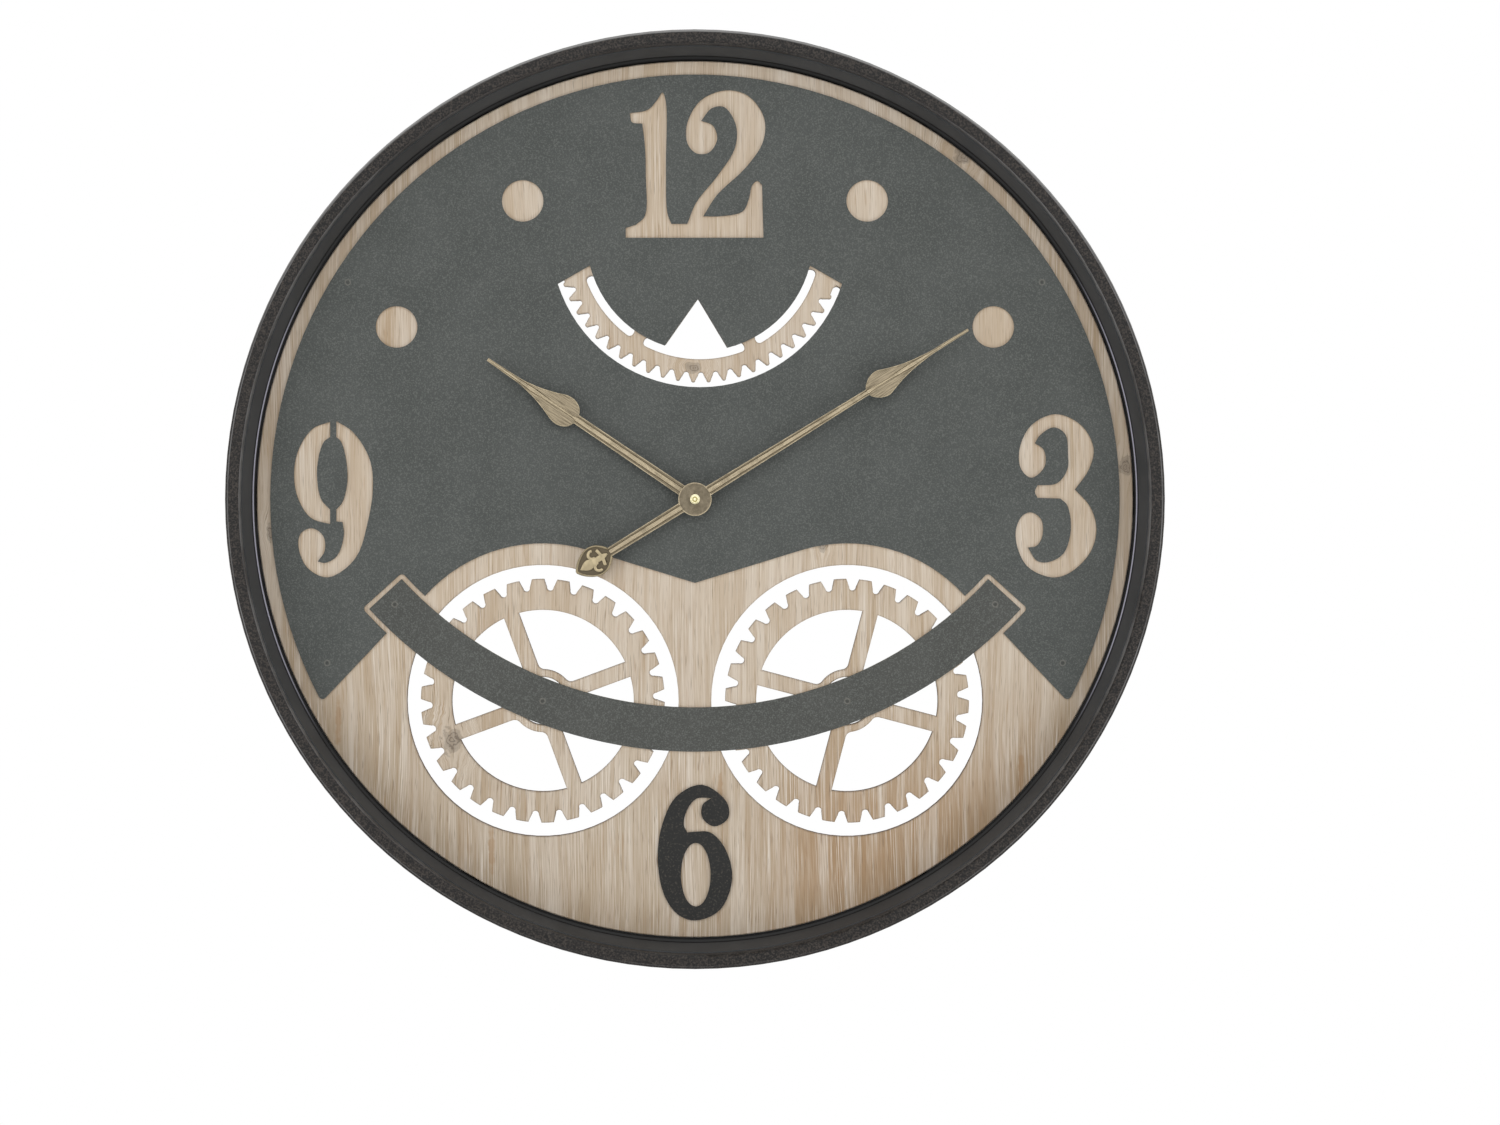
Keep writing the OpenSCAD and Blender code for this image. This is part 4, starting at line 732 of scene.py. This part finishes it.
for material, names in finishes:
    for name in names:
        nodes[name].data.materials.clear()
        nodes[name].data.materials.append(material)
print("finishes set on", sum(len(names) for material, names in finishes), "nodes")


# timber pieces with their cut edges chamfered and scorched, and the leaf with rounded edges

def mergedCopy(nodeName, pieceName):
    # copy of a node as a new piece, open in edit mode
    piece = bpy.data.objects.new(pieceName, nodes[nodeName].data.copy())
    bpy.context.scene.collection.objects.link(piece)
    bpy.ops.object.select_all(action="DESELECT")
    piece.select_set(True)
    bpy.context.view_layer.objects.active = piece
    bpy.ops.object.mode_set(mode="EDIT")
    bpy.ops.mesh.select_all(action="SELECT")
    bpy.ops.mesh.remove_doubles(threshold=0.005 * mm)
    return piece


def standIn(piece, nodeName, body):
    bpy.ops.object.mode_set(mode="OBJECT")
    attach(piece, body)
    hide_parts(nodeName)
    print(piece.name, len(piece.data.polygons), "faces")


def eased(nodeName, pieceName, steps, segments, body):
    # takes off front edges; a step gives the height of the face and the width, in mm
    piece = mergedCopy(nodeName, pieceName)
    bpy.ops.mesh.dissolve_limited(angle_limit=math.radians(0.6))
    for front, width in steps:
        bpy.ops.mesh.select_all(action="DESELECT")
        mesh = bmesh.from_edit_mesh(piece.data)
        for edge in mesh.edges:
            if len(edge.link_faces) == 2 and edge.is_convex and edge.calc_face_angle() > math.radians(60):
                level = all(abs(corner.co.y - front * mm) < 0.05 * mm for corner in edge.verts)
                edge.select_set(level and any(face.normal.y < -0.9 for face in edge.link_faces))
        bmesh.update_edit_mesh(piece.data)
        bpy.ops.mesh.bevel(offset=width * mm, offset_type="OFFSET", segments=segments, affect="EDGES",
                           material=segments % 2)  # a chamfer takes the second finish, a rounding the first
    standIn(piece, nodeName, body)
    return piece


for nodeName, pieceName in (("timber_panel", "panelBoard"), ("left_wheel", "leftCog"), ("right_wheel", "rightCog")):
    piece = eased(nodeName, pieceName, [(timberLook["front"], timberLook["edge"])], 1, "clock_body")
    piece.data.materials.append(scorchedTimber)
    bpy.ops.object.shade_flat()

eased("tail_leaf", "castLeaf", brassLook["ease"], 4, "minute_train")
bpy.ops.object.shade_smooth_by_angle(angle=math.radians(50))


# hands with their stems drawn out to full width as far as the spade

bladeLook = {
    "hour_hand": {
        "name": "hourBlade", "body": "hour_train", "hand": brassLook["hour"],
        # way from the hub, half width of the root as cut and as drawn, half width and end of the neck, in mm
        "stems": [(1, 3.6, 3.95, 3.45, 103.2)]},
    "minute_hand": {
        "name": "minuteBlade", "body": "minute_train", "hand": brassLook["minute"],
        "stems": [(1, 3.1, 3.65, 2.15, 146.0), (-1, 3.1, 3.7, 3.3, 72.1)]},
}


def broadened(nodeName, look):
    piece = mergedCopy(nodeName, look["name"])
    mesh = bmesh.from_edit_mesh(piece.data)
    ahead, across = handWays(look["hand"]["angle"])
    hub = look["hand"]["hub"] * mm
    for way, cut, root, neck, end in look["stems"]:
        along = ahead * way
        stem = [(corner, corner.co.dot(along), corner.co.dot(across)) for corner in mesh.verts]
        stem = [(corner, run, off) for corner, run, off in stem if hub - 1.2 * mm < run < end * mm]
        widest = {}
        for corner, run, off in stem:
            station = round(run, 4)
            widest[station] = max(widest.get(station, 0), abs(off))
        for corner, run, off in stem:
            half = (root + (neck - root) * (run - hub) / (end * mm - hub)) * mm
            if run > hub:
                gain = max(1.0, half / widest[round(run, 4)])
            else:
                gain = root / cut if abs(off) < (cut + 0.05) * mm else 1.0
            reach = math.hypot(run, off)
            onRim = abs(reach - hub) < 0.1 * mm
            newRun = math.sqrt(reach ** 2 - (off * gain) ** 2) if onRim else run  # slides round the hub's edge
            corner.co += across * (off * gain - off) + along * (newRun - run)
    bmesh.update_edit_mesh(piece.data)
    standIn(piece, nodeName, look["body"])
    bpy.ops.object.shade_flat()


for nodeName, look in bladeLook.items():
    broadened(nodeName, look)


# white surroundings, pale floor, soft lamps and the camera

stageLook = {
    "ambient": 0.35, "floor": -1.9, "floorSize": 8.0, "floorDim": (236, 236, 235), "floorPale": (242, 242, 241),
    "floorGlow": 0.5,
}


def whiteWhereSeen(tree, strengthElse, strengthSeen=1.0):
    # one strength for what the camera and gloss see, another for the light on the object
    path = tree.nodes.new("ShaderNodeLightPath").outputs
    seen = most(tree, path["Is Camera Ray"], most(tree, path["Is Glossy Ray"], path["Is Transmission Ray"]))
    return span(tree, seen, 0.0, 1.0, strengthElse, strengthSeen, smooth=False)


world = bpy.data.worlds.new("studio")
bpy.context.scene.world = world
world.use_nodes = True
background = world.node_tree.nodes["Background"]
background.inputs["Color"].default_value = (1, 1, 1, 1)
feed(world.node_tree, background.inputs["Strength"], whiteWhereSeen(world.node_tree, stageLook["ambient"]))

bpy.ops.object.select_all(action="DESELECT")
bpy.ops.mesh.primitive_plane_add(size=stageLook["floorSize"], location=(0, 0, stageLook["floor"]))
floor = bpy.context.object
floor.name = "floor"
floorPaint, tree, shader, place = newMaterial(
    "floorPaint", Specular_IOR_Level=0.1, Roughness=0.8, Emission_Color=(1, 1, 1, 1))
floorTone = blend(tree, noise(tree, place, scale=3.0), tone(stageLook["floorDim"]), tone(stageLook["floorPale"]))
feed(tree, shader["Base Color"], floorTone)
feed(tree, shader["Emission Strength"], whiteWhereSeen(tree, 0.0, stageLook["floorGlow"]))
floor.data.materials.append(floorPaint)

lampSet = {  # place, width in metres, watts
    "leftLamp": ((-1.4, -0.95, -0.4), 2.0, 12.8),
    "rightLamp": ((1.4, -0.95, -0.4), 2.0, 12.8),
    "topLamp": ((0.0, -2.0, 1.0), 2.0, 15.2),
    "backLamp": ((0.5, 2.0, 0.9), 1.2, 9.0),
}
for name, (spot, width, watts) in lampSet.items():
    lamp = bpy.data.lights.new(name, "AREA")
    lamp.shape = "DISK"
    lamp.size = width
    lamp.energy = watts
    holder = bpy.data.objects.new(name, lamp)
    holder.location = spot
    holder.rotation_euler = (-Vector(spot)).to_track_quat("-Z", "Y").to_euler()
    bpy.context.scene.collection.objects.link(holder)

cameraSet = {"distance": 1.8345, "sensor": 36, "lens": 60.75, "shift": (0.0367, -0.0422)}
camera = bpy.data.objects.new("camera", bpy.data.cameras.new("camera"))
camera.data.sensor_width = cameraSet["sensor"]
camera.data.lens = cameraSet["lens"]
camera.data.shift_x, camera.data.shift_y = cameraSet["shift"]
camera.location = (0, -cameraSet["distance"], 0)
camera.rotation_euler = (math.radians(90), 0, 0)
bpy.context.scene.collection.objects.link(camera)
bpy.context.scene.camera = camera
bpy.context.scene.view_settings.view_transform = "Standard"
print("stage ready")
